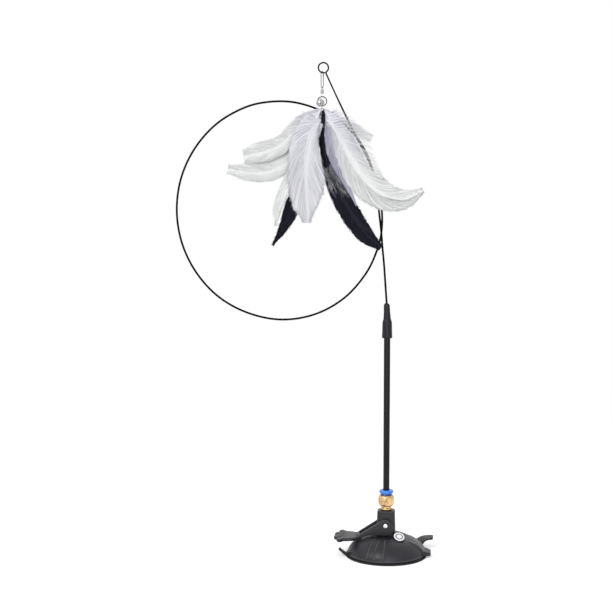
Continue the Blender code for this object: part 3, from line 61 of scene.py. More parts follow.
CUP_BOSS_RADIUS = 0.0115
CUP_BOSS_HEIGHT = 0.0096
CUP_BOSS_ROUND = 0.0012
CUP_FLOOR = 0.0027
TAB_INSET = 0.0025
SIDE_TAB = dict(angle=184, heading=184, reach=0.0060, rise=0.0064, width=0.010, thickness=0.0020,
                shares=(0.0, 0.10, 0.24, 0.41, 0.59, 0.79, 1.0))
REAR_TAB = dict(angle=38, heading=-8, reach=0.0172, rise=0.0092, width=0.0160, thickness=0.0022,
                shares=(0.0, 0.24, 0.60, 0.84, 0.95, 0.99, 1.0))
COVER_RADIUS = 0.0365
COVER_FOOT = 0.0022
COVER_RISE = 0.0208
COVER_SEAT_RISE = 0.0177
COVER_SEAT = COVER_FOOT + COVER_SEAT_RISE
COVER_WALL = 0.0020
COVER_FULLNESS = 1.8
COVER_CROWN = 0.55
COVER_BEND = 0.0009            # how softly the dome turns into its flat
RIB_WIDTH = 0.0012
RIB_RAISE = 0.0006
RIB_START = 0.0155
RIB_ANGLES = (243, 255, 270)
TONGUE_START = 0.019
TONGUE_END = 0.0425
TONGUE_ROOT_WIDTH = 0.027
TONGUE_END_WIDTH = 0.013
TONGUE_RAISE = 0.0007
TONGUE_THICKNESS = 0.0030
TONGUE_SWELL = 0.0026
TONGUE_EDGE = 0.0009           # softness of its outline
LABEL_RADIUS = 0.0050
LABEL_THICKNESS = 0.0005
LABEL_RIM = 0.0006
LABEL_ROUND = 0.00015
LABEL_PLACE = (0.0130, -0.0132, 0.0210)
LABEL_TILT = math.radians(34)
LABEL_FACING = math.radians(-66)
LABEL_BOSS_DEPTH = 0.0055
POST_WIDTH = 0.0177
POST_DEPTH = 0.0134
POST_TAPER = 0.0006
POST_TOP = 0.0438
POST_CHAMFER = 0.0009
POST_SQUARENESS = 7
POST_BODY_BOTTOM = 0.0124
POST_STEM_RADIUS = 0.005
POST_FOOT_RADIUS = 0.008
POST_FOOT_THICKNESS = 0.0028
POST_LINE_DEPTH = 0.00016
POST_LINE_DROP = 0.0034        # from the top to the shallow line round it
SLIDE_GAP = 0.0004
THREAD_DEPTH = 0.0096
THREAD_RADIUS = 0.00485
THREAD_CUT = 0.00015
THREAD_TURNS = 8
PIN_HEIGHT = 0.0302
PIN_RADIUS = 0.0016
PIN_HEAD_RADIUS = 0.00205
PIN_HEAD_THICKNESS = 0.0008
EAR_INNER = POST_DEPTH / 2 + SLIDE_GAP
EAR_OUTER = EAR_INNER + 0.0026
EAR_TOP_RADIUS = 0.0062
EAR_ROUND = 0.00055
CAM_TRAVEL = 0.0022
ARM_SLOPE = math.radians(33.7)
HEEL_LENGTH = 0.0165
HEEL_LIFT = 0.0006
PAW_TOP = 0.0185
PAW_THICKNESS = 0.0030
PAW_ROUND = 0.0008
PAW_SOFT = 0.0012              # rounding of its upper edge, and how far the top is domed
PAW_GROOVE = 0.0009
CROSS_BAR_RADIUS = 0.0013
PAW_ROOT = 0.0275
PAW_WAIST = 0.0310
PAW_WAIST_HALF = EAR_OUTER + 0.0030
PAW_CENTRE = 0.0378
PAW_RADIUS = 0.0088
PAW_TOE = 0.0032
PAW_SPREAD = 1.80
PAW_TOES = 4
PAW_FAN = math.radians(144)
TUBE_RADIUS = 0.003
TUBE_BORE = 0.002
TUBE_SOCKET = TUBE_RADIUS + GAP
NECK_RADIUS = 0.0044
HEX_HALF = 0.0069
HEX_CHAMFER = 0.0025
HEX_FOOT_CHAMFER = 0.0034
HEX_TURN = math.radians(12)
HEX_BOTTOM = POST_TOP + 0.0037
HEX_TOP = HEX_BOTTOM + 0.0109
HEX_CORNER = HEX_HALF / math.cos(math.pi / 6)
HEX_FOOT = NECK_RADIUS + 0.0004
HEX_NOSE = HEX_HALF - HEX_CHAMFER * 0.75
CHEEK_LOW = HEX_FOOT_CHAMFER * 1.7
CHEEK_HIGH = HEX_CHAMFER * 1.9
SOCKET_FLOOR = POST_TOP - 0.0020
FLOW_BORE = 0.0022
CHAMBER_BOTTOM = HEX_BOTTOM + 0.0020
CHAMBER_RADIUS = 0.0056
SEAL_HEIGHT = 0.0019
GRIP_HEIGHT = 0.0014
SLEEVE_LIP = 0.0011
SLEEVE_LIP_RADIUS = 0.0050
SLEEVE_WALL = 0.0008
SLEEVE_TRAVEL = 0.0009
COLLAR_RADIUS = 0.0066
COLLAR_BOTTOM = HEX_TOP + GAP + SLEEVE_TRAVEL
COLLAR_TOP = COLLAR_BOTTOM + 0.0026
POLE_TOP = 0.2237
PLUG_LENGTH = 0.0150
BOOT_BOTTOM = POLE_TOP - 0.0161
BOOT_LIP_RADIUS = 0.0049
BOOT_LIP_HEIGHT = 0.0022
BOOT_RADIUS = 0.0046
BOOT_SHOULDER = POLE_TOP + 0.0004
BOOT_SHOULDER_HEIGHT = 0.0030
BOOT_NOSE_RADIUS = 0.0029
BOOT_TIP = BOOT_SHOULDER + BOOT_SHOULDER_HEIGHT + 0.0134
BOOT_TIP_ROUND = 0.0012
WIRE_RADIUS = 0.0007
WIRE_COAT = 0.36               # share by which the lacquer thickens the wire away from its eye
EYE_RADIUS = 0.0046
BOW_SIZE = np.array((0.200, 0.010, 0.217))
BOW_ROUTE = (
    (-0.0040, 0.00, 0.011), (-0.0095, 0.00, 0.081), (-0.0165, 0.00, 0.168), (-0.0240, 0.00, 0.239),
    (-0.0295, 0.00, 0.301), (-0.0410, 0.05, 0.394), (-0.0560, 0.10, 0.505), (-0.0840, 0.20, 0.605),
    (-0.1230, 0.25, 0.680), (-0.1770, 0.30, 0.742), (-0.2550, 0.30, 0.796), (-0.3400, 0.30, 0.834),
    (-0.4430, 0.25, 0.859), (-0.5470, 0.20, 0.860), (-0.6510, 0.15, 0.840), (-0.7880, 0.10, 0.771),
    (-0.8930, 0.05, 0.666), (-0.9590, 0.00, 0.539), (-0.9810, -0.05, 0.400), (-0.9590, -0.10, 0.262),
    (-0.8940, -0.15, 0.135), (-0.7900, -0.20, 0.029), (-0.6530, -0.25, -0.041), (-0.4970, -0.30, -0.070),
    (-0.3390, -0.33, -0.047), (-0.2000, -0.36, 0.025), (-0.0980, -0.38, 0.134), (-0.0520, -0.40, 0.225),
    (-0.0310, -0.43, 0.302), (-0.0290, -0.48, 0.395), (-0.0490, -0.55, 0.506), (-0.0970, -0.63, 0.618),
    (-0.1650, -0.75, 0.737), (-0.2380, -0.88, 0.874),
)
EYE_CENTRE = np.array((-0.3010, -1.00, 0.998)) * BOW_SIZE + (0.0, 0.0, BOOT_TIP)
SNAP_SIDE = 0.0011
SNAP_WIRE = 0.0003
SNAP_WIDTH = 0.0034
SNAP_LENGTH = 0.0149
SNAP_TURN = math.radians(35)
CLASP_HALF = 0.0012            # half the clasp's length, where its outline would close, and its height
CLASP_CLOSE = 0.00121          # over the link's middle
CLASP_RISE = 0.0034
LOOP_WIRE = 0.00025
UPPER_EYE = 0.00095
LOWER_EYE = 0.0016
BARREL_RADIUS = 0.0015
BARREL_HEIGHT = 0.0036
BARREL_ROUND = 0.0007
SHANK_RADIUS = 0.0003
SHANK_HEAD = 0.00085
SHANK_HEAD_HEIGHT = 0.0004
BARREL_NECK = 0.0006
BARREL_CHAMBER = 0.00115
RING_RADIUS = 0.0042
RING_WIRE = 0.00035
RING_COAT = 1.15               # how much thicker than the solid the ring's wire looks
RING_PITCH = 0.00115
RING_STEP = math.radians(30)
BELL_RADIUS = 0.0037
BELL_WALL = 0.0005
BELL_SLOT = 0.0008
BELL_FORWARD = 0.0052
BELL_DROP = 0.0057
BELL_SIDE = 0.0017
BELL_LOOP = 0.0011
CLAPPER_RADIUS = 0.0011
CRIMP_RADIUS = 0.0027
CRIMP_WALL = 0.0006
CRIMP_HEIGHT = 0.0052
CRIMP_CAP = 0.0008
CRIMP_BANDS = (0.0012, 0.0030)
CRIMP_PINCH = 0.00022
LURE_X = EYE_CENTRE[0] - SNAP_SIDE
LURE_Y = EYE_CENTRE[1]
LURE_LINE = (LURE_X, LURE_Y)
SNAP_TOP = EYE_CENTRE[2] - math.sqrt(EYE_RADIUS ** 2 - SNAP_SIDE ** 2) + WIRE_RADIUS + GAP + SNAP_WIRE
SNAP_BOTTOM = SNAP_TOP - SNAP_LENGTH
UPPER_EYE_Z = SNAP_BOTTOM + SNAP_WIRE + GAP + LOOP_WIRE - UPPER_EYE
BARREL_TOP = UPPER_EYE_Z - UPPER_EYE - LOOP_WIRE - GAP
BARREL_BOTTOM = BARREL_TOP - BARREL_HEIGHT
LOWER_EYE_Z = BARREL_BOTTOM - GAP - LOOP_WIRE - LOWER_EYE
RING_Z = LOWER_EYE_Z - LOWER_EYE + LOOP_WIRE + GAP + RING_WIRE - RING_RADIUS
CRIMP_LOOP_Z = RING_Z - RING_RADIUS + RING_WIRE + GAP + LOOP_WIRE - LOWER_EYE
CRIMP_TOP = CRIMP_LOOP_Z - LOWER_EYE
CRIMP_FOOT = CRIMP_TOP - CRIMP_HEIGHT
QUILL_RADIUS = 0.00045
QUILL_CIRCLE = 0.00195
QUILL_SEATS = 9
QUILL_DEPTH = 0.0040
CAPE_QUILL = 0.00025
SHAFT_STRAIGHT = 0.0016
SHAFT_BARE = 0.0004
SHAFT_FAN = 0.0130
WEB_THICKNESS = 0.00009        # half of it, as for the barbs' width and thickness
BARB_WIDTH = 0.00024
BARB_THICKNESS = 0.00007
BARBS_PER_METRE = 2100
HAIR_WIDTH = 0.00009
HAIR_THICKNESS = 0.00005
FRINGE_START = 0.36            # where along the shaft the loose down begins, and how long its hairs are
FRINGE_REACH = 0.0060

# Feathers: reach to the left and fall below the crimp, layer in front of or behind it, the quill's seat,
# half-widths of the two vanes, how each grows along the shaft, in hundredths, the shaft's route as
# shares of reach and fall, and the finish. Loose is the vane whose barbs part, and up to where.
FEATHERS = {
    "white_shoulder": dict(
        reach=0.0250, fall=0.0340, layer=0.0040, seat=0, vanes=(0.0130, 0.0110), finish="white",
        grow=((22, 40, 55, 74, 86, 88, 80, 55, 20), (50, 80, 95, 100, 100, 98, 92, 78, 30)),
        route=((0.26, 0.12), (0.56, 0.34), (0.82, 0.66), (1.0, 1.0))),
    "white_upper_left": dict(
        reach=0.0720, fall=0.0380, layer=0.0005, seat=2, vanes=(0.0088, 0.0095), finish="white",
        grow=((60, 95, 105, 100, 90, 98, 118, 114, 62), (30, 50, 70, 85, 95, 100, 100, 92, 60)),
        route=((0.19, 0.16), (0.38, 0.48), (0.53, 0.73), (0.70, 0.88), (0.85, 0.95), (1.0, 1.0))),
    "white_left": dict(
        reach=0.0865, fall=0.0530, layer=0.0020, seat=1, vanes=(0.0096, 0.0096), finish="white",
        grow=((50, 70, 85, 95, 100, 100, 100, 85, 40), (30, 50, 70, 85, 95, 100, 95, 80, 45)),
        route=((0.13, 0.27), (0.26, 0.58), (0.40, 0.85), (0.56, 0.98), (0.77, 1.0), (1.0, 0.94))),
    "black_lower_left": dict(
        reach=0.0455, fall=0.1200, layer=-0.0011, seat=8, vanes=(0.0070, 0.0084), finish="black", ragged=1.0,
        grow=((10, 30, 55, 82, 100, 100, 90, 55, 10), (10, 30, 55, 82, 100, 100, 92, 50, 6)),
        route=((0.16, 0.19), (0.37, 0.43), (0.53, 0.59), (0.66, 0.75), (0.81, 0.88), (1.0, 1.0))),
    "white_lower_left": dict(
        reach=0.0425, fall=0.1015, layer=-0.0096, seat=3, vanes=(0.0078, 0.0066), finish="white", ragged=0.8,
        grow=((30, 50, 70, 85, 95, 100, 95, 75, 10), (50, 80, 100, 100, 100, 85, 50, 30, 5)),
        route=((0.15, 0.15), (0.33, 0.32), (0.63, 0.58), (0.90, 0.83), (1.0, 1.0))),
    "white_front": dict(
        reach=0.0150, fall=0.0990, layer=-0.0120, seat=4, vanes=(0.0165, 0.0160), finish="bright",
        grow=((45, 80, 100, 100, 100, 100, 96, 78, 20), (3, 20, 50, 76, 100, 118, 104, 60, 10)),
        route=((0.55, 0.14), (0.95, 0.36), (1.02, 0.60), (0.96, 0.80), (0.88, 1.0))),
    "white_right": dict(
        reach=-0.0925, fall=0.0780, layer=-0.0105, seat=5, vanes=(0.0138, 0.0140), finish="white",
        grow=((3, 30, 70, 100, 118, 112, 95, 62, 8), (80, 130, 158, 150, 126, 102, 86, 66, 20)),
        route=((0.12, 0.18), (0.25, 0.46), (0.40, 0.74), (0.60, 0.95), (0.82, 1.0), (1.0, 0.90)),
        loose=(1.0, 0.40)),
    "lilac_inner": dict(
        reach=-0.0316, fall=0.0837, layer=-0.0080, seat=6, vanes=(0.0070, 0.0086), finish="lilac",
        grow=((4, 30, 70, 95, 80, 50, 28, 15, 4), (50, 90, 100, 100, 95, 70, 42, 24, 6)),
        route=((0.17, 0.17), (0.32, 0.41), (0.50, 0.62), (0.75, 0.82), (1.0, 1.0))),
    "black_right": dict(
        reach=-0.0545, fall=0.1220, layer=-0.0055, seat=None, vanes=(0.0102, 0.0092), finish="black",
        grow=((20, 24, 32, 55, 85, 100, 100, 88, 30), (20, 26, 36, 60, 90, 100, 96, 80, 25)),
        route=((0.00, 0.20), (0.10, 0.40), (0.28, 0.58), (0.50, 0.75), (0.76, 0.91), (1.0, 1.0))),
    "small_upper_right": dict(
        reach=-0.0455, fall=0.0222, layer=-0.0010, seat=7, vanes=(0.0050, 0.0046), finish="pale", sparse=1.0,
        grow=((20, 50, 80, 95, 100, 100, 100, 95, 70), (40, 80, 100, 100, 100, 100, 100, 95, 70)),
        route=((0.12, 0.12), (0.28, 0.22), (0.53, 0.44), (0.78, 0.75), (1.0, 1.0))),
}

# Short feathers that lie over the crimp from outside, with their shafts' points measured from the middle
# of its foot
CAPES = {
    "cape_white": dict(
        points=((-0.0013, -0.0036, 0.0046), (-0.0034, -0.0042, 0.0012), (-0.0064, -0.0056, -0.0052),
                (-0.0092, -0.0078, -0.0140), (-0.0104, -0.0090, -0.0260)),
        vanes=(0.0066, 0.0030), finish="cape",
        grow=((20, 55, 85, 100, 95, 85, 65, 40, 5), (25, 50, 80, 100, 100, 95, 75, 45, 5))),
    "cape_side": dict(
        points=((-0.0030, -0.0020, 0.0046), (-0.0068, -0.0030, 0.0022), (-0.0122, -0.0040, -0.0030),
                (-0.0180, -0.0045, -0.0120), (-0.0215, -0.0045, -0.0220)),
        vanes=(0.0048, 0.0060), finish="cape",
        grow=((15, 35, 60, 80, 90, 85, 65, 40, 5), (30, 70, 100, 100, 100, 90, 75, 45, 5))),
    "cape_dark": dict(
        points=((0.0006, -0.0037, 0.0030), (0.0008, -0.0040, -0.0010), (0.0006, -0.0052, -0.0080),
                (0.0002, -0.0060, -0.0180), (0.0002, -0.0060, -0.0300)),
        vanes=(0.0019, 0.0019), finish="black",
        grow=((60, 80, 100, 100, 100, 100, 90, 60, 20), (60, 90, 100, 100, 100, 100, 90, 60, 20))),
    "cape_lilac": dict(
        points=((0.0022, -0.0032, 0.0042), (0.0042, -0.0040, 0.0006), (0.0072, -0.0052, -0.0064),
                (0.0106, -0.0066, -0.0170), (0.0136, -0.0072, -0.0300)),
        vanes=(0.0034, 0.0072), finish="bright",
        grow=((25, 50, 80, 100, 100, 90, 70, 40, 5), (20, 50, 80, 95, 95, 85, 65, 40, 5))),
    "cape_back": dict(
        points=((0.0000, 0.0037, 0.0044), (-0.0010, 0.0046, 0.0006), (-0.0022, 0.0062, -0.0070),
                (-0.0030, 0.0080, -0.0170), (-0.0036, 0.0086, -0.0300)),
        vanes=(0.0070, 0.0066), finish="cape",
        grow=((50, 85, 100, 100, 95, 85, 65, 40, 5), (50, 85, 100, 100, 95, 85, 65, 40, 5))),
}


class Tree:
    """A short way to write a node tree: a node's inputs are given by key, as sockets to link or as
    values, and every other keyword is one of the node's own settings."""

    def __init__(self, owner, keep=False):
        owner.use_nodes = True
        self.tree = owner.node_tree
        if not keep:
            self.tree.nodes.clear()

    def feed(self, socket, value):
        """Links the value to a socket, or sets it there."""
        if isinstance(value, bpy.types.NodeSocket):
            self.tree.links.new(value, socket)
        else:
            socket.default_value = (*value, 1.0) if socket.type == "RGBA" and len(value) == 3 else value

    def add(self, kind, inputs, **settings):
        """A new node of a kind, with its inputs and settings."""
        node = self.tree.nodes.new("ShaderNode" + kind)
        for key, value in settings.items():
            setattr(node, key, value)
        for key, value in inputs.items():
            self.feed(node.inputs[key], value)
        return node

    def seen_rays(self):
        """1 for a ray from the camera, off a mirror or through glass, otherwise 0."""
        paths = self.add("LightPath", {})
        last = paths.outputs["Is Camera Ray"]
        for other in ("Is Glossy Ray", "Is Transmission Ray"):
            last = self.add("Math", {0: last, 1: paths.outputs[other]}, operation="MAXIMUM").outputs[0]
        return last


# Camera, light and floor
def set_camera():
    """The photograph's view: level with the middle of the wand, looking 5 degrees down."""
    data = bpy.data.cameras.new("view_camera")
    data.sensor_width = 36.0
    data.lens = 75.70
    data.clip_end = 20.0
    camera = bpy.data.objects.new("view_camera", data)
    camera.location = (-0.0761, -1.2, 0.3427)
    camera.rotation_euler = (math.radians(85.0), 0.0, 0.0)
    bpy.context.scene.collection.objects.link(camera)
    bpy.context.scene.camera = camera


def set_world(level):
    """An even sky at a plain level, and a white backdrop in its place for the camera, mirrors and
    clear things."""
    world = bpy.data.worlds.new("studio")
    bpy.context.scene.world = world
    t = Tree(world)
    lit, white = (t.add("Background", {"Color": (*colour, 1.0), "Strength": strength}).outputs[0]
                  for colour, strength in (((0.97, 0.98, 1.0), level), ((1.0, 1.0, 1.0), 1.0)))
    blend = t.add("MixShader", {"Fac": t.seen_rays(), 1: lit, 2: white})
    t.add("OutputWorld", {"Surface": blend.outputs[0]})


def add_lamp(name, place, aim, size, power):
    """A soft box that faces the point it is aimed at."""
    data = bpy.data.lights.new(name, "AREA")
    data.shape = "RECTANGLE"
    data.size, data.size_y = size
    data.energy = power
    lamp = bpy.data.objects.new(name, data)
    lamp.location = place
    away = np.array(place, float) - np.array(aim, float)
    lamp.rotation_euler = (math.atan2(math.hypot(away[0], away[1]), away[2]), 0.0,
                           math.atan2(away[0], -away[1]))
    bpy.context.scene.collection.objects.link(lamp)


def add_floor():
    """A wide pale table top: matte round the wand, and from there on ever more a plain white backdrop,
    so that no line shows where it ends."""
    mesh = bpy.data.meshes.new("floor")
    mesh.from_pydata([(-9, -4, 0), (9, -4, 0), (9, 14, 0), (-9, 14, 0)], [], [(0, 1, 2, 3)])
    floor = bpy.data.objects.new("floor", mesh)
    bpy.context.scene.collection.objects.link(floor)
    material = bpy.data.materials.new("floor_pale")
    t = Tree(material)
    far = t.add("VectorMath", {0: t.add("TexCoord", {}).outputs["Object"]}, operation="LENGTH")
    reach = t.add("MapRange", {"Value": far.outputs["Value"], "From Min": 0.12, "From Max": 1.1},
                  interpolation_type="SMOOTHSTEP").outputs["Result"]
    pale, level = (t.add("MapRange", {"Value": reach, "To Min": near, "To Max": away}).outputs["Result"]
                   for near, away in ((0.84, 0.0), (0.36, 1.0)))
    strength = t.add("Math", {0: t.seen_rays(), 1: level}, operation="MULTIPLY").outputs[0]
    matte = t.add("BsdfDiffuse", {"Color": pale}).outputs[0]
    glow = t.add("Emission", {"Strength": strength}).outputs[0]
    t.add("OutputMaterial", {"Surface": t.add("AddShader", {0: matte, 1: glow}).outputs[0]})
    mesh.materials.append(material)


# Materials
class Finish(Tree):
    """A node tree round one Principled shader."""

    def __init__(self, name, colour, roughness, metallic=0.0, **sockets):
        self.material = bpy.data.materials.new(name)
        super().__init__(self.material, keep=True)
        self.shader = self.tree.nodes["Principled BSDF"]
        self.set(Base_Color=colour, Roughness=roughness, Metallic=metallic, **sockets)

    def set(self, **sockets):
        """Feeds the shader's sockets, named with underscores for spaces."""
        for key, value in sockets.items():
            self.feed(self.shader.inputs[key.replace("_", " ")], value)

    def place(self, scale=(1.0, 1.0, 1.0), centre=(0.0, 0.0, 0.0)):
        """Object coordinates, moved so that centre is the origin, then scaled."""
        coords = self.add("TexCoord", {}).outputs["Object"]
        moved = self.add("VectorMath", {0: coords, 1: centre}, operation="SUBTRACT").outputs[0]
        return self.add("VectorMath", {0: moved, 1: scale}, operation="MULTIPLY").outputs[0]

    def noise(self, place, scale, detail=3.0, roughness=0.5):
        """A cloud of noise from 0 to 1."""
        inputs = {"Vector": place, "Scale": scale, "Detail": detail, "Roughness": roughness}
        return self.add("TexNoise", inputs).outputs["Fac"]

    def ramp(self, value, *stops):
        """Colour or grey stops as (place, colour) pairs."""
        node = self.add("ValToRGB", {"Fac": value})
        elements = node.color_ramp.elements
        elements[0].position, elements[-1].position = stops[0][0], stops[-1][0]
        for place, _ in stops[1:-1]:
            elements.new(place)
        for element, (_, colour) in zip(elements, stops):
            element.color = (*((colour,) * 3 if isinstance(colour, float) else colour), 1.0)
        return node.outputs["Color"]

    def mix(self, share, a, b):
        """Mixes two colours, each a socket or three numbers, by a socket's share."""
        return self.add("Mix", {0: share, 6: a, 7: b}, data_type="RGBA").outputs[2]

    def field(self, name):
        """A number that the mesh holds for each point."""
        return self.add("Attribute", {}, attribute_name=name).outputs["Fac"]

    def bump(self, height, strength, distance):
        """Gives the shader a fine relief."""
        inputs = {"Height": height, "Strength": strength, "Distance": distance}
        self.set(Normal=self.add("Bump", inputs).outputs[0])


def moulded_black():
    """Black moulded plastic: spark-eroded grain, slight shifts of tone and gloss, and edges painted paler as
    highlights.
    """
    m = Finish("moulded_black", (0.012, 0.012, 0.015), 0.45, Specular_IOR_Level=0.40)
    place = m.place()
    cloud = m.noise(place, 60.0, 4.0, 0.55)
    tone = m.ramp(cloud, (0.3, (0.007, 0.007, 0.010)), (0.7, (0.013, 0.012, 0.017)))
    # Painted highlight: a paler grey mixed in where the mesh's field marks lit edges and crests
    m.set(Base_Color=m.mix(m.field("rub"), tone, (0.085, 0.085, 0.095)),
          Roughness=m.ramp(cloud, (0.3, 0.38), (0.7, 0.50)))
    m.bump(m.noise(place, 2600.0, 2.0, 0.6), 0.30, 0.00005)
    return m.material


def soft_rubber():
    """Matte rubber: a slightly dusty, softer grain than the plastic."""
    m = Finish("soft_rubber", (0.010, 0.010, 0.011), 0.6, Specular_IOR_Level=0.35)
    place = m.place()
    dust = m.noise(place, 900.0, 5.0, 0.7)
    m.set(Base_Color=m.ramp(dust, (0.35, (0.007, 0.007, 0.008)), (0.75, (0.016, 0.016, 0.018))),
          Roughness=m.ramp(m.noise(place, 45.0), (0.3, 0.46), (0.7, 0.64)))
    m.bump(dust, 0.22, 0.00007)
    return m.material


def label_satin(centre):
    """Bare satin disc, pale, with one dark blue line round it near the edge."""
    m = Finish("label_satin", (0.88, 0.88, 0.90), 0.35)
    place = m.place(centre=centre)
    away = m.add("VectorMath", {0: place}, operation="LENGTH").outputs["Value"]
    share = m.add("Math", {0: away, 1: LABEL_RADIUS}, operation="DIVIDE").outputs[0]
    line = m.ramp(share, (0.50, 0.0), (0.54, 1.0), (0.70, 1.0), (0.74, 0.0))
    pale = m.ramp(m.noise(place, 240.0), (0.35, (0.84, 0.84, 0.87)), (0.65, (0.92, 0.92, 0.93)))
    m.set(Base_Color=m.mix(line, pale, (0.035, 0.035, 0.10)))
    m.bump(m.noise(place, 1800.0, 2.0), 0.10, 0.00003)
    return m.material


def turned_metal(name, colour, deep, roughness, centre):
    """Turned metal: rings of tool marks round the vertical line through centre, and a soft tarnish."""
    m = Finish(name, colour, roughness, 1.0)
    marks = m.noise(m.place((60.0, 60.0, 2600.0), (*centre, 0.0)), 1.0, 3.0, 0.6)
    cloud = m.noise(m.place((1.0, 1.0, 0.6)), 260.0, 4.0, 0.6)
    m.set(Base_Color=m.ramp(cloud, (0.34, deep), (0.60, colour)),
          Roughness=m.ramp(cloud, (0.3, roughness + 0.12), (0.7, roughness - 0.06)))
    m.bump(marks, 0.12, 0.00004)
    return m.material


def blue_plastic():
    """Glossy blue moulding with a faint flow pattern."""
    m = Finish("blue_plastic", (0.035, 0.20, 0.85), 0.26, Coat_Weight=0.25, Coat_Roughness=0.12)
    place = m.place((1.0, 1.0, 3.0))
    flow = m.noise(place, 260.0)
    m.set(Base_Color=m.ramp(flow, (0.3, (0.022, 0.155, 0.72)), (0.7, (0.055, 0.250, 0.92))),
          Roughness=m.ramp(flow, (0.3, 0.22), (0.7, 0.32)))
    m.bump(m.noise(place, 1500.0, 2.0), 0.08, 0.00003)
    return m.material


def drawn_black(name, colour, light, roughness, stretch, scale, depth, gloss):
    """Extruded or drawn black: fine streaks that run along Z."""
    m = Finish(name, colour, roughness, Specular_IOR_Level=gloss)
    streaks = m.noise(m.place((1.0, 1.0, stretch)), scale, 3.0, 0.6)
    m.set(Base_Color=m.ramp(streaks, (0.3, colour), (0.75, light)),
          Roughness=m.ramp(m.noise(m.place(), 70.0), (0.3, roughness - 0.05), (0.7, roughness + 0.08)))
    m.bump(streaks, 0.18, depth)
    return m.material


def plated_steel(name, roughness, colour):
    """Nickel plate: bright, with a faint cloud of handling marks."""
    m = Finish(name, colour, roughness, 1.0)
    cloud = m.noise(m.place(), 420.0, 4.0, 0.6)
    m.set(Base_Color=m.ramp(cloud, (0.3, tuple(c * 0.72 for c in colour)), (0.65, colour)),
          Roughness=m.ramp(cloud, (0.3, roughness + 0.12), (0.7, roughness)))
    m.bump(m.noise(m.place(), 1600.0, 2.0), 0.06, 0.00003)
    return m.material


def feather_finish(name, deep, pale, root, sheen=0.1):
    """Feather: each barb has its own tone, from the streak attribute, and the vane takes the root's tone
    towards its downy end, from the UV map's V, which runs along the shaft."""
    m = Finish(name, pale, 0.6, Sheen_Weight=sheen, Sheen_Roughness=0.4, Specular_IOR_Level=0.12)
    uv = m.add("UVMap", {}, uv_map="shaft_map").outputs["UV"]
    bright = tuple(min(1.0, c * 1.10) for c in pale)
    tone = m.ramp(m.field("streak"), (0.0, deep), (0.60, pale), (1.0, bright))
    along = m.ramp(m.add("SeparateXYZ", {0: uv}).outputs["Y"], (0.10, 1.0), (0.42, 0.0))
    m.set(Base_Color=m.mix(along, tone, root))
    fine = m.add("Mapping", {"Vector": uv, "Scale": (5.0, 420.0, 1.0)}).outputs[0]
    m.bump(m.noise(fine, 1.0, 2.0), 0.12, 0.0001)
    return m.material


# Shapes as arrays
def unit(v):
    """Each row of v at length one."""
    return v / np.maximum(np.linalg.norm(v, axis=-1, keepdims=True), 1e-12)


def smooth_step(x):
    """0 below 0, 1 above 1, and 3x^2 - 2x^3 between."""
    x = np.clip(x, 0.0, 1.0)
    return x * x * (3 - 2 * x)


def bell_curve(x, width):
    """1 at 0, falling off to either side as exp(-(x / width)^2)."""
    return np.exp(-(x / width) ** 2)


def soft_min(a, b, blend):
    """The smaller of a and b, with a parabola across the bend where they differ by less than blend."""
    h = np.clip(0.5 + 0.5 * (b - a) / blend, 0.0, 1.0)
    return b + (a - b) * h - blend * h * (1 - h)


def circle(count):
    """Angles once round at even steps."""
    return np.linspace(0.0, math.tau, count, endpoint=False)


def quarter(count):
    """The sine and cosine of even steps from 0 to 90 degrees."""
    a = np.radians(np.linspace(0, 90, count))
    return list(zip(np.sin(a), np.cos(a)))


def boxy(count, across, up):
    """Cosine and sine once round, each with its sign and raised to a power, which squares the circle."""
    a = circle(count)
    return [np.sign(v) * np.abs(v) ** power for v, power in ((np.cos(a), across), (np.sin(a), up))]


def polar(radius, a, z):
    """Points at a radius, an angle and a height."""
    return np.stack(np.broadcast_arrays(radius * np.cos(a), radius * np.sin(a), z), -1)


def run_lengths(path):
    """How far along the path each of its points lies."""
    return np.concatenate([[0.0], np.cumsum(np.linalg.norm(np.diff(path, axis=0), axis=1))])


def evenly(path, count):
    """The same path with count points at even lengths."""
    lengths = run_lengths(path)
    at = np.linspace(0.0, lengths[-1], count)
    return np.stack([np.interp(at, lengths, path[:, k]) for k in range(path.shape[1])], 1)


def spline(points, count):
    """A centripetal Catmull-Rom curve through the points: each span is a cubic whose end slopes weigh
    the neighbouring chords by the square roots of their lengths. It is read at even lengths."""
    p = np.array(points, float)
    p = np.vstack([2 * p[0] - p[1], p, 2 * p[-1] - p[-2]])
    knot = np.sqrt(np.linalg.norm(np.diff(p, axis=0), axis=1))[:, None]
    before, here, after = knot[:-2], knot[1:-1], knot[2:]
    a, q, r, s = p[:-3], p[1:-2], p[2:-1], p[3:]
    leave = (r - q) + ((q - a) / before - (r - a) / (before + here)) * here
    arrive = (r - q) + ((s - r) / after - (s - q) / (here + after)) * here
    t = (np.arange(24) / 24)[None, :, None]
    q, r, leave, arrive = (v[:, None, :] for v in (q, r, leave, arrive))
    fine = (q * (2 * t ** 3 - 3 * t ** 2 + 1) + leave * (t ** 3 - 2 * t ** 2 + t)
            + r * (3 * t ** 2 - 2 * t ** 3) + arrive * (t ** 3 - t ** 2)).reshape(-1, p.shape[1])
    return evenly(np.vstack([fine, p[-2]]), count)


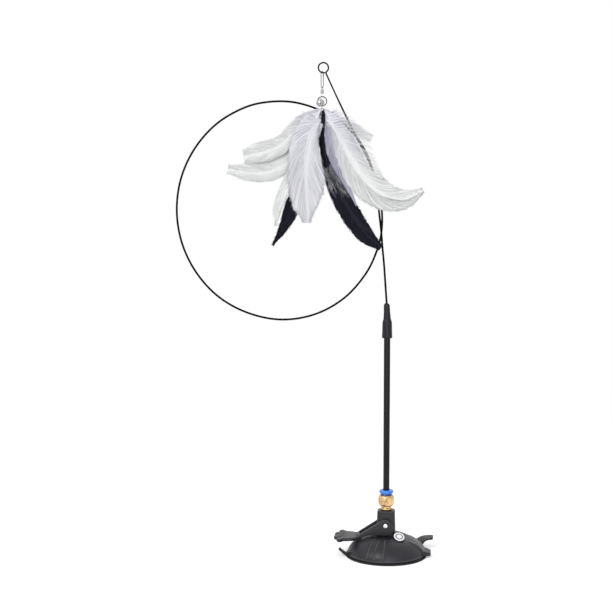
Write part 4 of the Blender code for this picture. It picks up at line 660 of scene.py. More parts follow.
def rounded(profile, radius, closed=False, steps=5):
    """A profile whose corners are cut back by radius, or by 0.45 of the shorter side, and bridged by
    the curve (1-t)^2 a + 2t(1-t) corner + t^2 b."""
    p = np.array(profile, float)
    before, after = np.roll(p, 1, axis=0), np.roll(p, -1, axis=0)
    shorter = np.minimum(np.linalg.norm(p - before, axis=1), np.linalg.norm(p - after, axis=1))
    cut = np.minimum(radius, 0.45 * shorter)[:, None]
    a = p + unit(before - p) * cut
    b = p + unit(after - p) * cut
    if not closed:
        a[0] = b[0] = p[0]
        a[-1] = b[-1] = p[-1]
    t = np.linspace(0.0, 1.0, steps)[None, :, None]
    bent = a[:, None] * (1 - t) ** 2 + p[:, None] * 2 * t * (1 - t) + b[:, None] * t ** 2
    flat = bent.reshape(-1, 2)
    return flat[np.concatenate([[True], np.linalg.norm(np.diff(flat, axis=0), axis=1) > 1e-7])]


def quads(rows, columns, join_ends=False):
    """Corners of a grid's faces. Its columns wrap round, and its last row meets the first if asked."""
    r = np.arange(rows - (0 if join_ends else 1))[:, None]
    c = np.arange(columns)[None, :]
    n = (c + 1) % columns
    up = (r + 1) % rows
    corners = (r * columns + c, r * columns + n, up * columns + n, up * columns + c)
    return np.stack(corners, -1).reshape(-1, 4)


def outward(points, blocks):
    """The same closed part with its faces turned round if its signed volume is negative."""
    volume = 0.0
    for block in blocks:
        for k in range(1, block.shape[1] - 1):
            a, b, c = (points[block[:, i]] for i in (0, k, k + 1))
            volume += np.sum(a * np.cross(b, c))
    return points, ([b[:, ::-1] for b in blocks] if volume < 0 else blocks)


def capped(grid):
    """A grid of closed rows as a solid: its first and last rows end in a point at their middle, or in
    a fan round it."""
    rows, columns, _ = grid.shape
    points = np.vstack([grid.reshape(-1, 3), grid[0].mean(0)[None], grid[-1].mean(0)[None]])
    c = np.arange(columns)
    n = (c + 1) % columns
    last, middle = (rows - 1) * columns, np.full(columns, rows * columns)
    low = np.stack([middle, n, c], 1)
    high = np.stack([middle + 1, last + c, last + n], 1)
    return outward(points, [quads(rows, columns), low, high])


def looped(grid):
    """A grid of closed rows whose last row meets its first, as a solid ring."""
    rows, columns, _ = grid.shape
    return outward(grid.reshape(-1, 3), [quads(rows, columns, join_ends=True)])


def lathe(profile, sides, centre=(0.0, 0.0), closed=False, radius_at=None):
    """(radius, height) pairs turned about the vertical line through centre: x = r cos a, y = r sin a.
    radius_at may change the radii by angle. A profile that starts and ends on the line is capped."""
    p = np.array(profile, float)
    a = circle(sides)[None, :]
    r, z = (np.broadcast_to(p[:, k:k + 1], (len(p), sides)) for k in (0, 1))
    if radius_at is not None:
        r = radius_at(r, z, a)
    grid = polar(r, a, z) + (*centre, 0.0)
    return looped(grid) if closed else capped(grid)


def moved(part, shift):
    """The part, shifted."""
    return part[0] + shift, part[1]


def tube_grid(path, radii, sides, flat=(0.0, 1.0, 0.0), squash=1.0):
    """A tube as a grid: circle points in the plane across each tangent. One axis of the circle is the
    part of the flat direction that lies across the tangent, and squash thins the tube along it."""
    tangent = unit(np.gradient(path, axis=0))
    flat = np.broadcast_to(np.array(flat, float), path.shape)
    lift = unit(flat - tangent * np.sum(flat * tangent, axis=1, keepdims=True))
    side = np.cross(tangent, lift)
    a = circle(sides)[None, :, None]
    radii = np.broadcast_to(np.asarray(radii, float), (len(path),))[:, None, None]
    return path[:, None] + radii * (side[:, None] * np.cos(a) + lift[:, None] * (np.sin(a) * squash))


def wire_loop(centre, first, second, radius, wire, stretch=0.0, steps=64):
    """A closed loop of round wire in the plane of two unit vectors: centre + radius (first cos a +
    second sin a), with its two halves parted along the second vector by stretch."""
    first, second = np.array(first, float), np.array(second, float)
    a = (np.arange(steps) + 0.5) / steps * math.tau
    out = first * np.cos(a)[:, None] + second * np.sin(a)[:, None]
    path = centre + out * radius + second * (np.sign(np.sin(a)) * stretch / 2)[:, None]
    b = circle(12)[None, :, None]
    normal = np.cross(first, second)
    return looped(path[:, None] + (out[:, None] * np.cos(b) + normal * np.sin(b)) * wire)


def squircle(half_x, half_y, power, a):
    """Radius at angle a of the rounded square |x/half_x|^n + |y/half_y|^n = 1."""
    return (np.abs(np.cos(a) / half_x) ** power + np.abs(np.sin(a) / half_y) ** power) ** (-1 / power)


def turn_base(part):
    """The part turned about Z with the base."""
    c, s = math.cos(BASE_TURN), math.sin(BASE_TURN)
    return part[0] @ np.array([[c, s, 0], [-s, c, 0], [0, 0, 1]]), part[1]


def piece(name, parts, material, body, node, sharp=40.0, fields=None):
    """One object from closed parts. It rides on its body, if it is given one, and stands for its solid."""
    points = np.vstack([p for p, _ in parts])
    starts = np.cumsum([0] + [len(p) for p, _ in parts])
    blocks = [b + s for (_, bs), s in zip(parts, starts) for b in bs]
    corners = np.concatenate([b.ravel() for b in blocks])
    sizes = np.concatenate([np.full(len(b), b.shape[1]) for b in blocks])
    mesh = bpy.data.meshes.new(name)
    mesh.vertices.add(len(points))
    mesh.vertices.foreach_set("co", points.astype(np.float32).ravel())
    mesh.loops.add(len(corners))
    mesh.loops.foreach_set("vertex_index", corners.astype(np.int32))
    mesh.polygons.add(len(sizes))
    mesh.polygons.foreach_set("loop_start", (np.cumsum(sizes) - sizes).astype(np.int32))
    mesh.update(calc_edges=True)
    for key, values in (fields or {}).items():
        values = values.astype(np.float32)
        if key == "shaft_map":
            mesh.uv_layers.new(name=key).data.foreach_set("uv", values[corners].ravel())
        else:
            mesh.attributes.new(key, "FLOAT", "POINT").data.foreach_set("value", values)
    mesh.validate()
    mesh.shade_smooth()
    if sharp:
        mesh.set_sharp_from_angle(angle=math.radians(sharp))
    mesh.materials.append(material)
    made = bpy.data.objects.new(name, mesh)
    bpy.context.scene.collection.objects.link(made)
    if body:
        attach(made, body)
    if node:
        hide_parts(node)
    return made


# Base: cup, cover, label
def tab_part(tab, rows=44):
    """A pull tab: a rounded-rectangle section carried along a path that leaves the rim at an angle,
    turns evenly to its heading and climbs by shares. It narrows and closes in a round end."""
    angle, heading = (math.radians(tab[k]) - BASE_TURN for k in ("angle", "heading"))
    shares = np.array(tab["shares"])
    levels = len(shares)
    step = (TAB_INSET + tab["reach"]) / (levels - 1)
    facing = angle + (heading - angle) * np.arange(levels) / (levels - 1)
    run = np.stack([np.cos(facing), np.sin(facing)], 1) * step
    run[0] *= (CUP_RADIUS - TAB_INSET) / step
    flat = np.cumsum(run, axis=0)
    path = spline(np.column_stack([flat, CUP_RIM_THICKNESS / 2 + tab["rise"] * shares]), rows)
    t = np.linspace(0.0, 1.0, rows)
    tangent = unit(np.gradient(path, axis=0))
    side = unit(np.cross((0.0, 0.0, 1.0), tangent))
    lift = np.cross(tangent, side)
    end = np.sqrt(1 - 0.45 * np.clip((t - 0.88) / 0.12, 0, 1) ** 2)
    half = tab["width"] / 2 * (1 - 0.25 * t ** 4) * end
    thick = np.interp(t, [0.0, 0.12], [CUP_RIM_THICKNESS / 2, tab["thickness"]]) / 2
    thick = thick * (1 + 0.16 * smooth_step((t - 0.86) / 0.05))
    across, up = boxy(40, 0.35, 0.55)
    return capped(path[:, None] + side[:, None] * (half[:, None] * across)[..., None]
                  + lift[:, None] * (thick[:, None] * up)[..., None])


def make_cup(material):
    """Rubber cup: the solid's profile with softened corners, turned, and its two pull tabs. The tabs
    ride on the base; the cup itself rides on no body."""
    seat = COVER_RADIUS - CUP_STEP - GAP
    hole = POST_STEM_RADIUS + GAP
    pocket = POST_FOOT_RADIUS + GAP
    floor = CUP_HOLLOW + CUP_FLOOR
    ceiling = floor + GAP + POST_FOOT_THICKNESS + GAP
    top = COVER_FOOT - GAP
    boss, ease = CUP_BOSS_RADIUS, CUP_BOSS_ROUND
    profile = [
        (0, CUP_HOLLOW), (CUP_PAD_RADIUS, CUP_HOLLOW), (CUP_SKIRT_RADIUS, CUP_SKIRT_RISE),
        (CUP_RADIUS - CUP_RIM_FACE, 0), (CUP_RADIUS, 0), (CUP_RADIUS, CUP_RIM_THICKNESS),
        (seat + CUP_STEP, CUP_RIM_THICKNESS), (seat, top), (seat - CUP_SEAT_WIDTH, top),
        (boss + ease, CUP_CROWN), (boss, CUP_CROWN + ease), (boss, CUP_BOSS_HEIGHT - ease),
        (boss - ease, CUP_BOSS_HEIGHT), (hole, CUP_BOSS_HEIGHT), (hole, ceiling), (pocket, ceiling),
        (pocket, floor), (0, floor),
    ]
    cup = turn_base(lathe(rounded(profile, CUP_RIM_ROUND * 1.3), 200))
    cup = piece("cup_rubber", [cup], material, None, "suction_cup")
    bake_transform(cup)
    tabs = [turn_base(tab_part(tab)) for tab in (SIDE_TAB, REAR_TAB)]
    piece("pull_tabs", tabs, material, "base", None)


def dome(radius):
    """Height of the cover's outside: rise (1 - (r/R)^fullness)^crown, levelled off at the flat."""
    share = np.clip(radius / COVER_RADIUS, 0.0, 1.0)
    return COVER_FOOT + soft_min(COVER_RISE * (1 - share ** COVER_FULLNESS) ** COVER_CROWN,
                                 np.full_like(share, COVER_SEAT_RISE), COVER_BEND)


def tongue_half(x):
    """Half-width of the tongue, which narrows evenly from its root to its end."""
    t = np.clip((x - TONGUE_START) / (TONGUE_END - TONGUE_START), 0.0, 1.0)
    return (TONGUE_ROOT_WIDTH + (TONGUE_END_WIDTH - TONGUE_ROOT_WIDTH) * t) / 2


def cover_bumps(radius, a):
    """Raised height on the dome: thin ribs as bells across their lines, and the tongue's band, whose
    two edges stand prouder than its middle."""
    x, y = radius * np.cos(a), radius * np.sin(a)
    ribs = np.zeros_like(x)
    height = dome(radius) - COVER_FOOT
    fade = smooth_step((radius - RIB_START) / 0.005) * smooth_step((height - 0.0012) / 0.0015)
    for angle in RIB_ANGLES:
        for line in (math.radians(angle), math.radians(-angle)):
            along = x * math.cos(line) + y * math.sin(line)
            off = -x * math.sin(line) + y * math.cos(line)
            ribs += np.where(along > 0, RIB_RAISE * bell_curve(off, RIB_WIDTH * 0.42) * fade, 0.0)
    half = tongue_half(x)
    inside = smooth_step((half - np.abs(y)) / TONGUE_EDGE) * smooth_step((x - TONGUE_START) / 0.006)
    ridge = bell_curve(np.abs(y) - half + 0.0013, TONGUE_EDGE)
    lift = 1.0 + 1.2 * smooth_step((x - TONGUE_START - 0.004) / 0.012)
    return ribs + TONGUE_RAISE * inside * lift * (0.65 + 0.35 * ridge)


def cover_painted_highlight(height, bump):
    """Painted highlight: where the cover is painted paler, on the ribs' crests, the tongue's two edges and in
    a line round the foot.
    """
    foot = bell_curve(height - COVER_FOOT - 0.0007, 0.0005)
    return np.clip(np.clip(bump / RIB_RAISE, 0.0, 1.0) ** 3 * 0.85 + foot * 0.55, 0.0, 1.0)


def tongue_lip(rows=26, columns=48):
    """The tongue's free end, beyond the dome: rounded-rectangle rows from under the dome out to its tip."""
    x = np.linspace(COVER_RADIUS - 0.0028, TONGUE_END, rows)
    low = CUP_RIM_THICKNESS + CUP_RIM_ROUND + GAP
    fall = 1 - (x - x[0]) / (x[-1] - x[0])
    top = np.maximum(dome(x) + TONGUE_RAISE * 0.6, low + TONGUE_THICKNESS + TONGUE_SWELL * fall ** 0.8)
    bottom = np.where(x > COVER_RADIUS, low, COVER_FOOT)
    close = np.sqrt(1 - 0.5 * np.clip((x - TONGUE_END) / TONGUE_EDGE + 1, 0, 1) ** 2)
    across, up = boxy(columns, 0.28, 0.28)
    y = (tongue_half(x) * close)[:, None] * across
    z = ((top + bottom) / 2)[:, None] + ((top - bottom) / 2 * close)[:, None] * up
    return capped(np.stack([np.broadcast_to(x[:, None], (rows, columns)), y, z], -1))


def label_part(radius, low, high, ease):
    """A disc with soft edges, between two heights along the direction that the label faces."""
    points, blocks = lathe(rounded([(0, low), (radius, low), (radius, high), (0, high)], ease), 96)
    axis = np.array((math.cos(LABEL_FACING) * math.sin(LABEL_TILT),
                     math.sin(LABEL_FACING) * math.sin(LABEL_TILT), math.cos(LABEL_TILT)))
    first = unit(np.cross((0.0, 1.0, 0.0), axis))
    return turn_base((LABEL_PLACE + points @ np.stack([first, np.cross(axis, first), axis]), blocks))


def make_cover(material, rows=58):
    """The cover as one closed grid: out over the dome from the post's hole to the edge, back under its
    wall, and up the hole. Its lip and the label's boss are parts of their own."""
    a = circle(540)[None, :]
    hole = squircle(POST_WIDTH / 2 + SLIDE_GAP, POST_DEPTH / 2 + SLIDE_GAP, POST_SQUARENESS, a)
    s = np.linspace(0.0, 1.0, rows)[:, None]
    radius = hole + 0.0004 + (COVER_RADIUS - hole - 0.0004) * (1 - (1 - s) ** 2)
    height = dome(radius)
    slope = np.gradient(height, axis=0) / np.maximum(np.gradient(radius, axis=0), 1e-9)
    bump = cover_bumps(radius, a)
    tilt = bump / np.sqrt(1 + slope ** 2)
    inner_r = hole + (COVER_RADIUS - COVER_WALL - hole) * np.linspace(1.0, 0.0, 14)[:, None] ** 0.7
    share = np.clip(inner_r / (COVER_RADIUS - COVER_WALL), 0.0, 1.0)
    inner_z = (COVER_RISE - COVER_WALL) * (1 - share ** COVER_FULLNESS) ** COVER_CROWN
    inner_z = COVER_FOOT + np.minimum(inner_z, COVER_SEAT_RISE - COVER_WALL)
    edge = dome(hole)
    r = np.vstack([hole, hole + 0.00012, radius - tilt * slope, inner_r])
    z = np.vstack([edge - 0.0004, edge - 0.00012, height + tilt, inner_z])
    # Painted highlight on the dome's crests and round its foot, held as a field for the material
    rub = np.zeros(r.shape)
    rub[2:2 + rows] = cover_painted_highlight(height, bump)
    shell, lip = (turn_base(part) for part in (looped(polar(r, a, z)), tongue_lip()))
    boss = label_part(LABEL_RADIUS + LABEL_RIM, -LABEL_BOSS_DEPTH, 0, LABEL_ROUND * 2)
    rub = np.concatenate([rub.ravel(), np.zeros(len(lip[0]) + len(boss[0]))])
    piece("cover_shell", [shell, lip, boss], material, "base", "dome_cover", sharp=50.0,
          fields={"rub": rub})


def make_label():
    """Round label: a thin disc with a soft edge on its boss."""
    part = label_part(LABEL_RADIUS, GAP, GAP + LABEL_THICKNESS, LABEL_ROUND)
    piece("label_disc", [part], label_satin(tuple(part[0].mean(0))), "base", "round_label")


# Post, pin, lever
def make_post(material):
    """Post: rounded-square rows stacked up, with a soft top edge, a shallow line under it, and the
    round hole that takes the fitting's thread."""
    foot = CUP_HOLLOW + CUP_FLOOR + GAP
    sole = foot + POST_FOOT_THICKNESS
    half_x, half_y = POST_WIDTH / 2, POST_DEPTH / 2
    soft, ease = POST_CHAMFER / 2, POST_CHAMFER
    round_top = POST_CHAMFER * 1.9
    rows = [(z, r, r, 2) for z, r in (
        (foot, POST_FOOT_RADIUS - soft), (foot + soft, POST_FOOT_RADIUS), (sole, POST_FOOT_RADIUS),
        (sole, POST_STEM_RADIUS), (POST_BODY_BOTTOM, POST_STEM_RADIUS))]
    rows += [(POST_BODY_BOTTOM + ease * (1 - c), half_x - ease * (1 - s), half_y - ease * (1 - s),
              POST_SQUARENESS) for s, c in quarter(7)]
    line = POST_TOP - POST_LINE_DROP
    for z in np.sort(np.concatenate([np.linspace(COVER_SEAT, POST_TOP - round_top, 30),
                                     line + np.linspace(-0.0004, 0.0004, 5)])):
        taper = POST_TAPER * (z - COVER_SEAT) / (POST_TOP - COVER_SEAT)
        dip = POST_LINE_DEPTH * bell_curve(z - line, 0.00022)
        rows.append((z, half_x - taper - dip, half_y - taper / 2 - dip, POST_SQUARENESS))
    rows += [(POST_TOP - round_top * (1 - s), half_x - POST_TAPER - round_top * (1 - c),
              half_y - POST_TAPER / 2 - ease * (1 - c), POST_SQUARENESS) for s, c in quarter(7)]
    hole = THREAD_RADIUS + GAP
    rows += [(POST_TOP - drop, r, r, 2) for drop, r in (
        (0, hole + 0.0004), (0.0002, hole), (THREAD_DEPTH, hole))]
    a = circle(160)
    radius = np.stack([squircle(x, y, power, a) for _, x, y, power in rows])
    grid = polar(radius, a, np.array([row[0] for row in rows])[:, None])
    piece("post_block", [turn_base(capped(grid))], material, "post", "post")


def make_pin(material):
    """Pivot pin: a turned shank with a low domed head at each end, laid along the lever's hinge line."""
    head = EAR_OUTER + GAP
    cap = [(PIN_HEAD_RADIUS * s, head + PIN_HEAD_THICKNESS * (0.35 + 0.65 * c)) for s, c in quarter(9)]
    half = [(PIN_RADIUS, head), (PIN_HEAD_RADIUS, head)] + cap[::-1]
    points, blocks = lathe([(r, -z) for r, z in half[::-1]] + half, 48)
    points = np.stack([points[:, 0], points[:, 2], PIN_HEIGHT - points[:, 1]], 1)
    piece("pin_shank", [turn_base((points, blocks))], material, "post", "pivot_pin")


def ear_outline():
    """Side of an arm about the pin, as (x, z): a cam nose, a round top, and the arm down to the paw."""
    reach = PIN_HEIGHT - COVER_SEAT - GAP
    rate = CAM_TRAVEL / math.radians(90)
    turn = np.linspace(0.0, math.radians(90), 20)
    cam = reach - rate * turn
    nose = np.stack([cam * np.sin(turn) - rate * np.cos(turn), -cam * np.cos(turn) - rate * np.sin(turn)], 1)
    a = np.linspace(math.radians(10), math.pi / 2 + ARM_SLOPE, 30)
    crown = EAR_TOP_RADIUS * np.stack([np.cos(a), np.sin(a)], 1)
    top = PAW_TOP - PIN_HEIGHT
    low = top - PAW_THICKNESS + PAW_ROUND
    foot = crown[-1, 0] - (crown[-1, 1] - top) / math.tan(ARM_SLOPE)
    arm = [(foot, top), (-PAW_WAIST, top - PAW_ROUND), (-PAW_WAIST, low), (-PAW_ROOT - 0.001, low),
           (-HEEL_LENGTH, HEEL_LIFT - reach), (-rate - HEEL_LIFT * 3, HEEL_LIFT - reach)]
    return np.vstack([nose, crown, rounded(np.vstack([crown[-1:], arm, nose[:1]]), 0.0016, steps=6)[1:-1]])


def ear_part(sign):
    """One arm: the outline carried across its thickness with soft edges, and the pin's hole. Its top
    edge, where it faces up, is painted paler on the outer side as a highlight."""
    outline = ear_outline()
    outline = evenly(np.vstack([outline, outline[:1]]), 261)[:-1]
    along = unit(np.roll(outline, -1, axis=0) - np.roll(outline, 1, axis=0))
    normal = np.stack([along[:, 1], -along[:, 0]], 1)
    hole = unit(outline) * (PIN_RADIUS + GAP)
    skin = [(outline - normal * EAR_ROUND * (1 - c), EAR_ROUND * (1 - s)) for s, c in quarter(6)]
    rows = [(hole, EAR_INNER)] + [(p, EAR_INNER + y) for p, y in skin[::-1]]
    rows += [(p, EAR_OUTER - y) for p, y in skin] + [(hole, EAR_OUTER)]
    grid = np.stack([np.column_stack([p[:, 0], np.full(len(p), sign * y), PIN_HEIGHT + p[:, 1]])
                     for p, y in rows])
    rub = np.zeros(grid.shape[:2])
    # Painted highlight along the arm's upward-facing top edge, on its outer side
    rub[8:12] = 0.75 * smooth_step(normal[:, 1] * 1.6) * (outline[:, 0] < -0.002)
    return looped(grid), rub.ravel()


def paw_part():
    """The paw: its plan outline shrunk towards a middle point in steps. The top is softly domed and
    dips in grooves between the toes, which fade towards the arms."""
    t = np.linspace(0.0, 1.0, 193)
    a = math.pi - PAW_FAN / 2 + PAW_FAN * t
    reach = PAW_RADIUS + PAW_TOE * np.sqrt(np.abs(np.sin(math.pi * PAW_TOES * t)))
    fan = np.stack([-PAW_CENTRE + reach * np.cos(a), PAW_SPREAD * reach * np.sin(a)], 1)
    web = [(-PAW_WAIST, -PAW_WAIST_HALF), (-PAW_ROOT, -EAR_OUTER), (-PAW_ROOT, EAR_OUTER),
           (-PAW_WAIST, PAW_WAIST_HALF)]
    web = rounded(np.vstack([fan[-1:], web, fan[:1]]), 0.0010)[1:-1]
    outline = np.vstack([fan, evenly(web, 60)])
    toe = np.concatenate([t, np.zeros(60)])
    groove = PAW_GROOVE * bell_curve(toe * PAW_TOES - np.round(toe * PAW_TOES), 0.10)
    groove = np.where((toe > 0.05) & (toe < 0.95), groove, 0.0)
    middle = np.array((-PAW_CENTRE + 0.0035, 0.0))
    away = np.linalg.norm(outline - middle, axis=1)
    bottom = PAW_TOP - PAW_THICKNESS
    rows = [(np.minimum(s, 1 - PAW_SOFT / away),
             PAW_TOP - groove * smooth_step((s - 0.25) / 0.4) + PAW_SOFT * (1 - s ** 2) ** 2)
            for s in np.linspace(0.02, 0.96, 22)]
    rows += [(1 - PAW_SOFT * (1 - s) / away, PAW_TOP - PAW_SOFT * (1 - c) - groove * c)
             for s, c in quarter(7)]
    rows += [(1 - PAW_ROUND * (1 - s) / away, bottom + PAW_ROUND * (1 - c)) for s, c in quarter(7)[::-1]]
    rows.append((0.02, bottom))
    return capped(np.stack([np.column_stack([
        middle + (outline - middle) * np.broadcast_to(share, away.shape)[:, None],
        np.broadcast_to(z, away.shape)]) for share, z in rows]))


def make_lever(material):
    """The lever: two arms, the paw, and a round bar between the arms at the paw's root."""
    ears = [ear_part(sign) for sign in (1.0, -1.0)]
    y = np.linspace(-EAR_INNER - 0.0006, EAR_INNER + 0.0006, 9)
    line = np.column_stack([np.full(9, -PAW_ROOT + 0.0012), y, np.full(9, PAW_TOP + 0.0004)])
    others = [paw_part(), capped(tube_grid(line, CROSS_BAR_RADIUS, 24, flat=(0.0, 0.0, 1.0)))]
    # The arms' painted highlight; none on the paw and the bar
    rub = np.concatenate([ear[1] for ear in ears] + [np.zeros(len(part[0])) for part in others])
    parts = [turn_base(part) for part in [ear[0] for ear in ears] + others]
    piece("lever_fork", parts, material, "lever", "lever", sharp=50.0, fields={"rub": rub})


# Fitting, collar, pole, boot
def hexagon(radius, height, a):
    """Radius of the nut: the nearer of the hexagon's flats, with softened corners, and the two turned
    cheeks, each a quarter of an ellipse. Below and above the nut the profile's own radius holds."""
    flat = HEX_HALF / np.cos((a - HEX_TURN) % (math.pi / 3) - math.pi / 6)
    low = np.clip((height - HEX_BOTTOM) / CHEEK_LOW, 0.0, 1.0)
    high = np.clip((HEX_TOP - height) / CHEEK_HIGH, 0.0, 1.0)
    cheek = np.minimum(*(end + (HEX_CORNER - end) * np.sqrt(1 - (1 - share) ** 2)
                         for end, share in ((HEX_FOOT, low), (HEX_NOSE, high))))
    nut = soft_min(flat + 0.0 * height, cheek + 0.0 * a, 0.0006)
    return np.where(radius > HEX_CORNER * 1.5, nut, radius)


def make_fitting(material):
    """Brass fitting: thread, neck, hexagon nut and stepped bore, turned as one closed profile."""
    low = POST_TOP - THREAD_DEPTH + GAP
    wave = 1 - np.cos(np.linspace(0, math.tau * THREAD_TURNS, 60))
    thread = np.column_stack([THREAD_RADIUS - THREAD_CUT * wave,
                              np.linspace(low + 0.0006, POST_TOP - 0.0012, 60)])
    heights = np.concatenate([HEX_BOTTOM + CHEEK_LOW * np.linspace(0, 1, 16) ** 1.6,
                              HEX_TOP - CHEEK_HIGH * np.linspace(1, 0, 16) ** 1.6])
    nut = np.column_stack([np.ones(32), heights])
    neck = [(THREAD_RADIUS, POST_TOP - 0.0010)]
    neck += [(NECK_RADIUS + out, POST_TOP + up) for out, up in (
        (0.0005, 0.0002), (0.0009, 0.0008), (0.0009, 0.0019), (0.0, 0.0025))]
    neck = rounded(neck + [(NECK_RADIUS, HEX_BOTTOM), (HEX_FOOT, HEX_BOTTOM)], 0.0004)
    bore = rounded([(HEX_NOSE - 0.0001, HEX_TOP), (CHAMBER_RADIUS, HEX_TOP), (CHAMBER_RADIUS, CHAMBER_BOTTOM),
                    (TUBE_SOCKET, CHAMBER_BOTTOM), (TUBE_SOCKET, SOCKET_FLOOR), (FLOW_BORE, SOCKET_FLOOR),
                    (FLOW_BORE, low), (THREAD_RADIUS - 0.0005, low)], 0.0002)
    part = lathe(np.vstack([thread, neck, nut, bore]), 216, closed=True, radius_at=hexagon)
    piece("fitting_nut", [part], material, "post", "fitting_body", sharp=50.0)


def make_collar(material):
    """Blue release collar: lip, stem and a full, round collar."""
    bore = TUBE_SOCKET
    stem = bore + SLEEVE_WALL
    lip = CHAMBER_BOTTOM + GAP + SEAL_HEIGHT + GAP + GRIP_HEIGHT + GAP + SLEEVE_TRAVEL
    low, high = COLLAR_BOTTOM + 0.0001, COLLAR_TOP + 0.0008
    v = np.linspace(-math.pi / 2, math.pi / 2, 19)
    bulge = np.column_stack([COLLAR_RADIUS - 0.0013 + 0.0014 * np.abs(np.cos(v)) ** 0.6,
                             (low + high) / 2 + (high - low) / 2 * np.sin(v)])
    inner = [(bore, lip), (SLEEVE_LIP_RADIUS, lip), (SLEEVE_LIP_RADIUS, lip + SLEEVE_LIP),
             (stem, lip + SLEEVE_LIP), (stem, low), tuple(bulge[0])]
    mouth = [(bore + 0.0005, high), (bore + 0.0001, high - 0.0002), (bore, high - 0.0006)]
    part = lathe(np.vstack([rounded(inner, 0.0002), bulge[1:], mouth]), 128, closed=True)
    piece("release_collar", [part], material, "sleeve", "release_sleeve")


def make_pole(material):
    """Hollow pole: a turned tube with eased ends."""
    low = SOCKET_FLOOR + GAP
    profile = [(TUBE_BORE, low), (TUBE_RADIUS, low), (TUBE_RADIUS, POLE_TOP), (TUBE_BORE, POLE_TOP)]
    part = lathe(rounded(profile, GAP, closed=True), 96, closed=True)
    piece("pole_shell", [part], material, "pole", "pole_tube")


def boot_lean(height):
    """Sideways shift of the wire's line inside the boot at a height."""
    share = (height - BOOT_SHOULDER) / (BOOT_TIP - BOOT_SHOULDER)
    return BOW_SIZE[0] * BOW_ROUTE[0][0] * np.maximum(0.0, share) * 0.7


def make_boot(material):
    """Soft cap on the pole's top: turned, with a rolled lip and eased shoulders, and its nose leaning
    over with the wire."""
    wire_hole = WIRE_RADIUS + GAP
    roof = POLE_TOP + GAP
    profile = [(TUBE_SOCKET, BOOT_BOTTOM), (BOOT_LIP_RADIUS, BOOT_BOTTOM),
               (BOOT_LIP_RADIUS, BOOT_BOTTOM + BOOT_LIP_HEIGHT * 0.6),
               (BOOT_RADIUS + 0.0001, BOOT_BOTTOM + BOOT_LIP_HEIGHT * 2.4),
               (BOOT_RADIUS - 0.0001, BOOT_SHOULDER - 0.0014),
               (BOOT_NOSE_RADIUS + 0.0006, BOOT_SHOULDER + 0.0015),
               (BOOT_NOSE_RADIUS + 0.0001, BOOT_SHOULDER + 0.0085)]
    profile += [(BOOT_NOSE_RADIUS * math.cos(k), BOOT_TIP - 0.0030 + 0.0032 * math.sin(k))
                for k in np.radians(np.linspace(0, 68, 9))]
    profile += [(wire_hole, BOOT_TIP), (wire_hole, roof), (TUBE_SOCKET, roof)]
    points, blocks = lathe(rounded(profile, 0.0009, closed=True, steps=7), 96, closed=True)
    points[:, 0] += boot_lean(points[:, 2])
    piece("boot_cap", [(points, blocks)], material, "pole", "tube_boot")


def wire_path():
    """The bow's centre line: up out of the plug, round the crossing loop and round the end eye."""
    route = np.array(BOW_ROUTE) * BOW_SIZE + (0.0, 0.0, BOOT_TIP)
    neck = unit((EYE_CENTRE - route[-1]) * (1.0, 0.0, 1.0))
    points = np.vstack([(0.0, 0.0, POLE_TOP - PLUG_LENGTH), (0.0, 0.0, BOOT_SHOULDER),
                        (boot_lean(BOOT_TIP), 0.0, BOOT_TIP - BOOT_TIP_ROUND), route,
                        EYE_CENTRE - neck * (EYE_RADIUS + WIRE_RADIUS * 2.5)])
    side = np.array([neck[2], 0.0, -neck[0]])
    touch = math.asin(WIRE_RADIUS * 2 / EYE_RADIUS)
    a = touch * 0.2 + (math.tau - touch * 0.6) * np.linspace(0.0, 1.0, 90)[:, None]
    eye = EYE_CENTRE - neck * EYE_RADIUS * np.cos(a) + side * EYE_RADIUS * np.sin(a)
    eye[:, 1] += WIRE_RADIUS * 1.2 * smooth_step((a[:, 0] - math.tau + touch * 1.25) / (touch * 0.9))
    return np.vstack([spline(points, 420), eye])


def make_wire(material):
    """The bow: a round wire along its path, its lacquer a little thicker away from the eye, its last
    end eased."""
    path = wire_path()
    away = len(path) - 98.0 - np.arange(len(path))
    radii = WIRE_RADIUS * (1.0 + WIRE_COAT * smooth_step(away / 20.0))
    radii[-2:] *= (0.95, 0.7)
    piece("bow_wire", [capped(tube_grid(path, radii, 20))], material, "pole", "wire_bow")


# Snap, swivel, ring, bell, crimp
def make_snap(material):
    """Snap: a long link of thin wire through the bow's eye, with a small clasp sleeve on one leg."""
    across = np.array((math.sin(SNAP_TURN), -math.cos(SNAP_TURN), 0.0))
    centre = np.array((*LURE_LINE, (SNAP_TOP + SNAP_BOTTOM) / 2))
    link = wire_loop(centre, across, (0, 0, 1), SNAP_WIDTH / 2, SNAP_WIRE, SNAP_LENGTH - SNAP_WIDTH, 96)
    z = np.linspace(-CLASP_HALF, CLASP_HALF, 9)
    line = centre + across * SNAP_WIDTH / 2 + np.column_stack([z * 0, z * 0, z + CLASP_RISE])
    radii = SNAP_WIRE * (1.0 + 0.5 * np.sqrt(1 - (z / CLASP_CLOSE) ** 2))
    clasp = capped(tube_grid(line, radii, 16, flat=across))
    piece("snap_wire", [link, clasp], material, "snap", "snap_link")


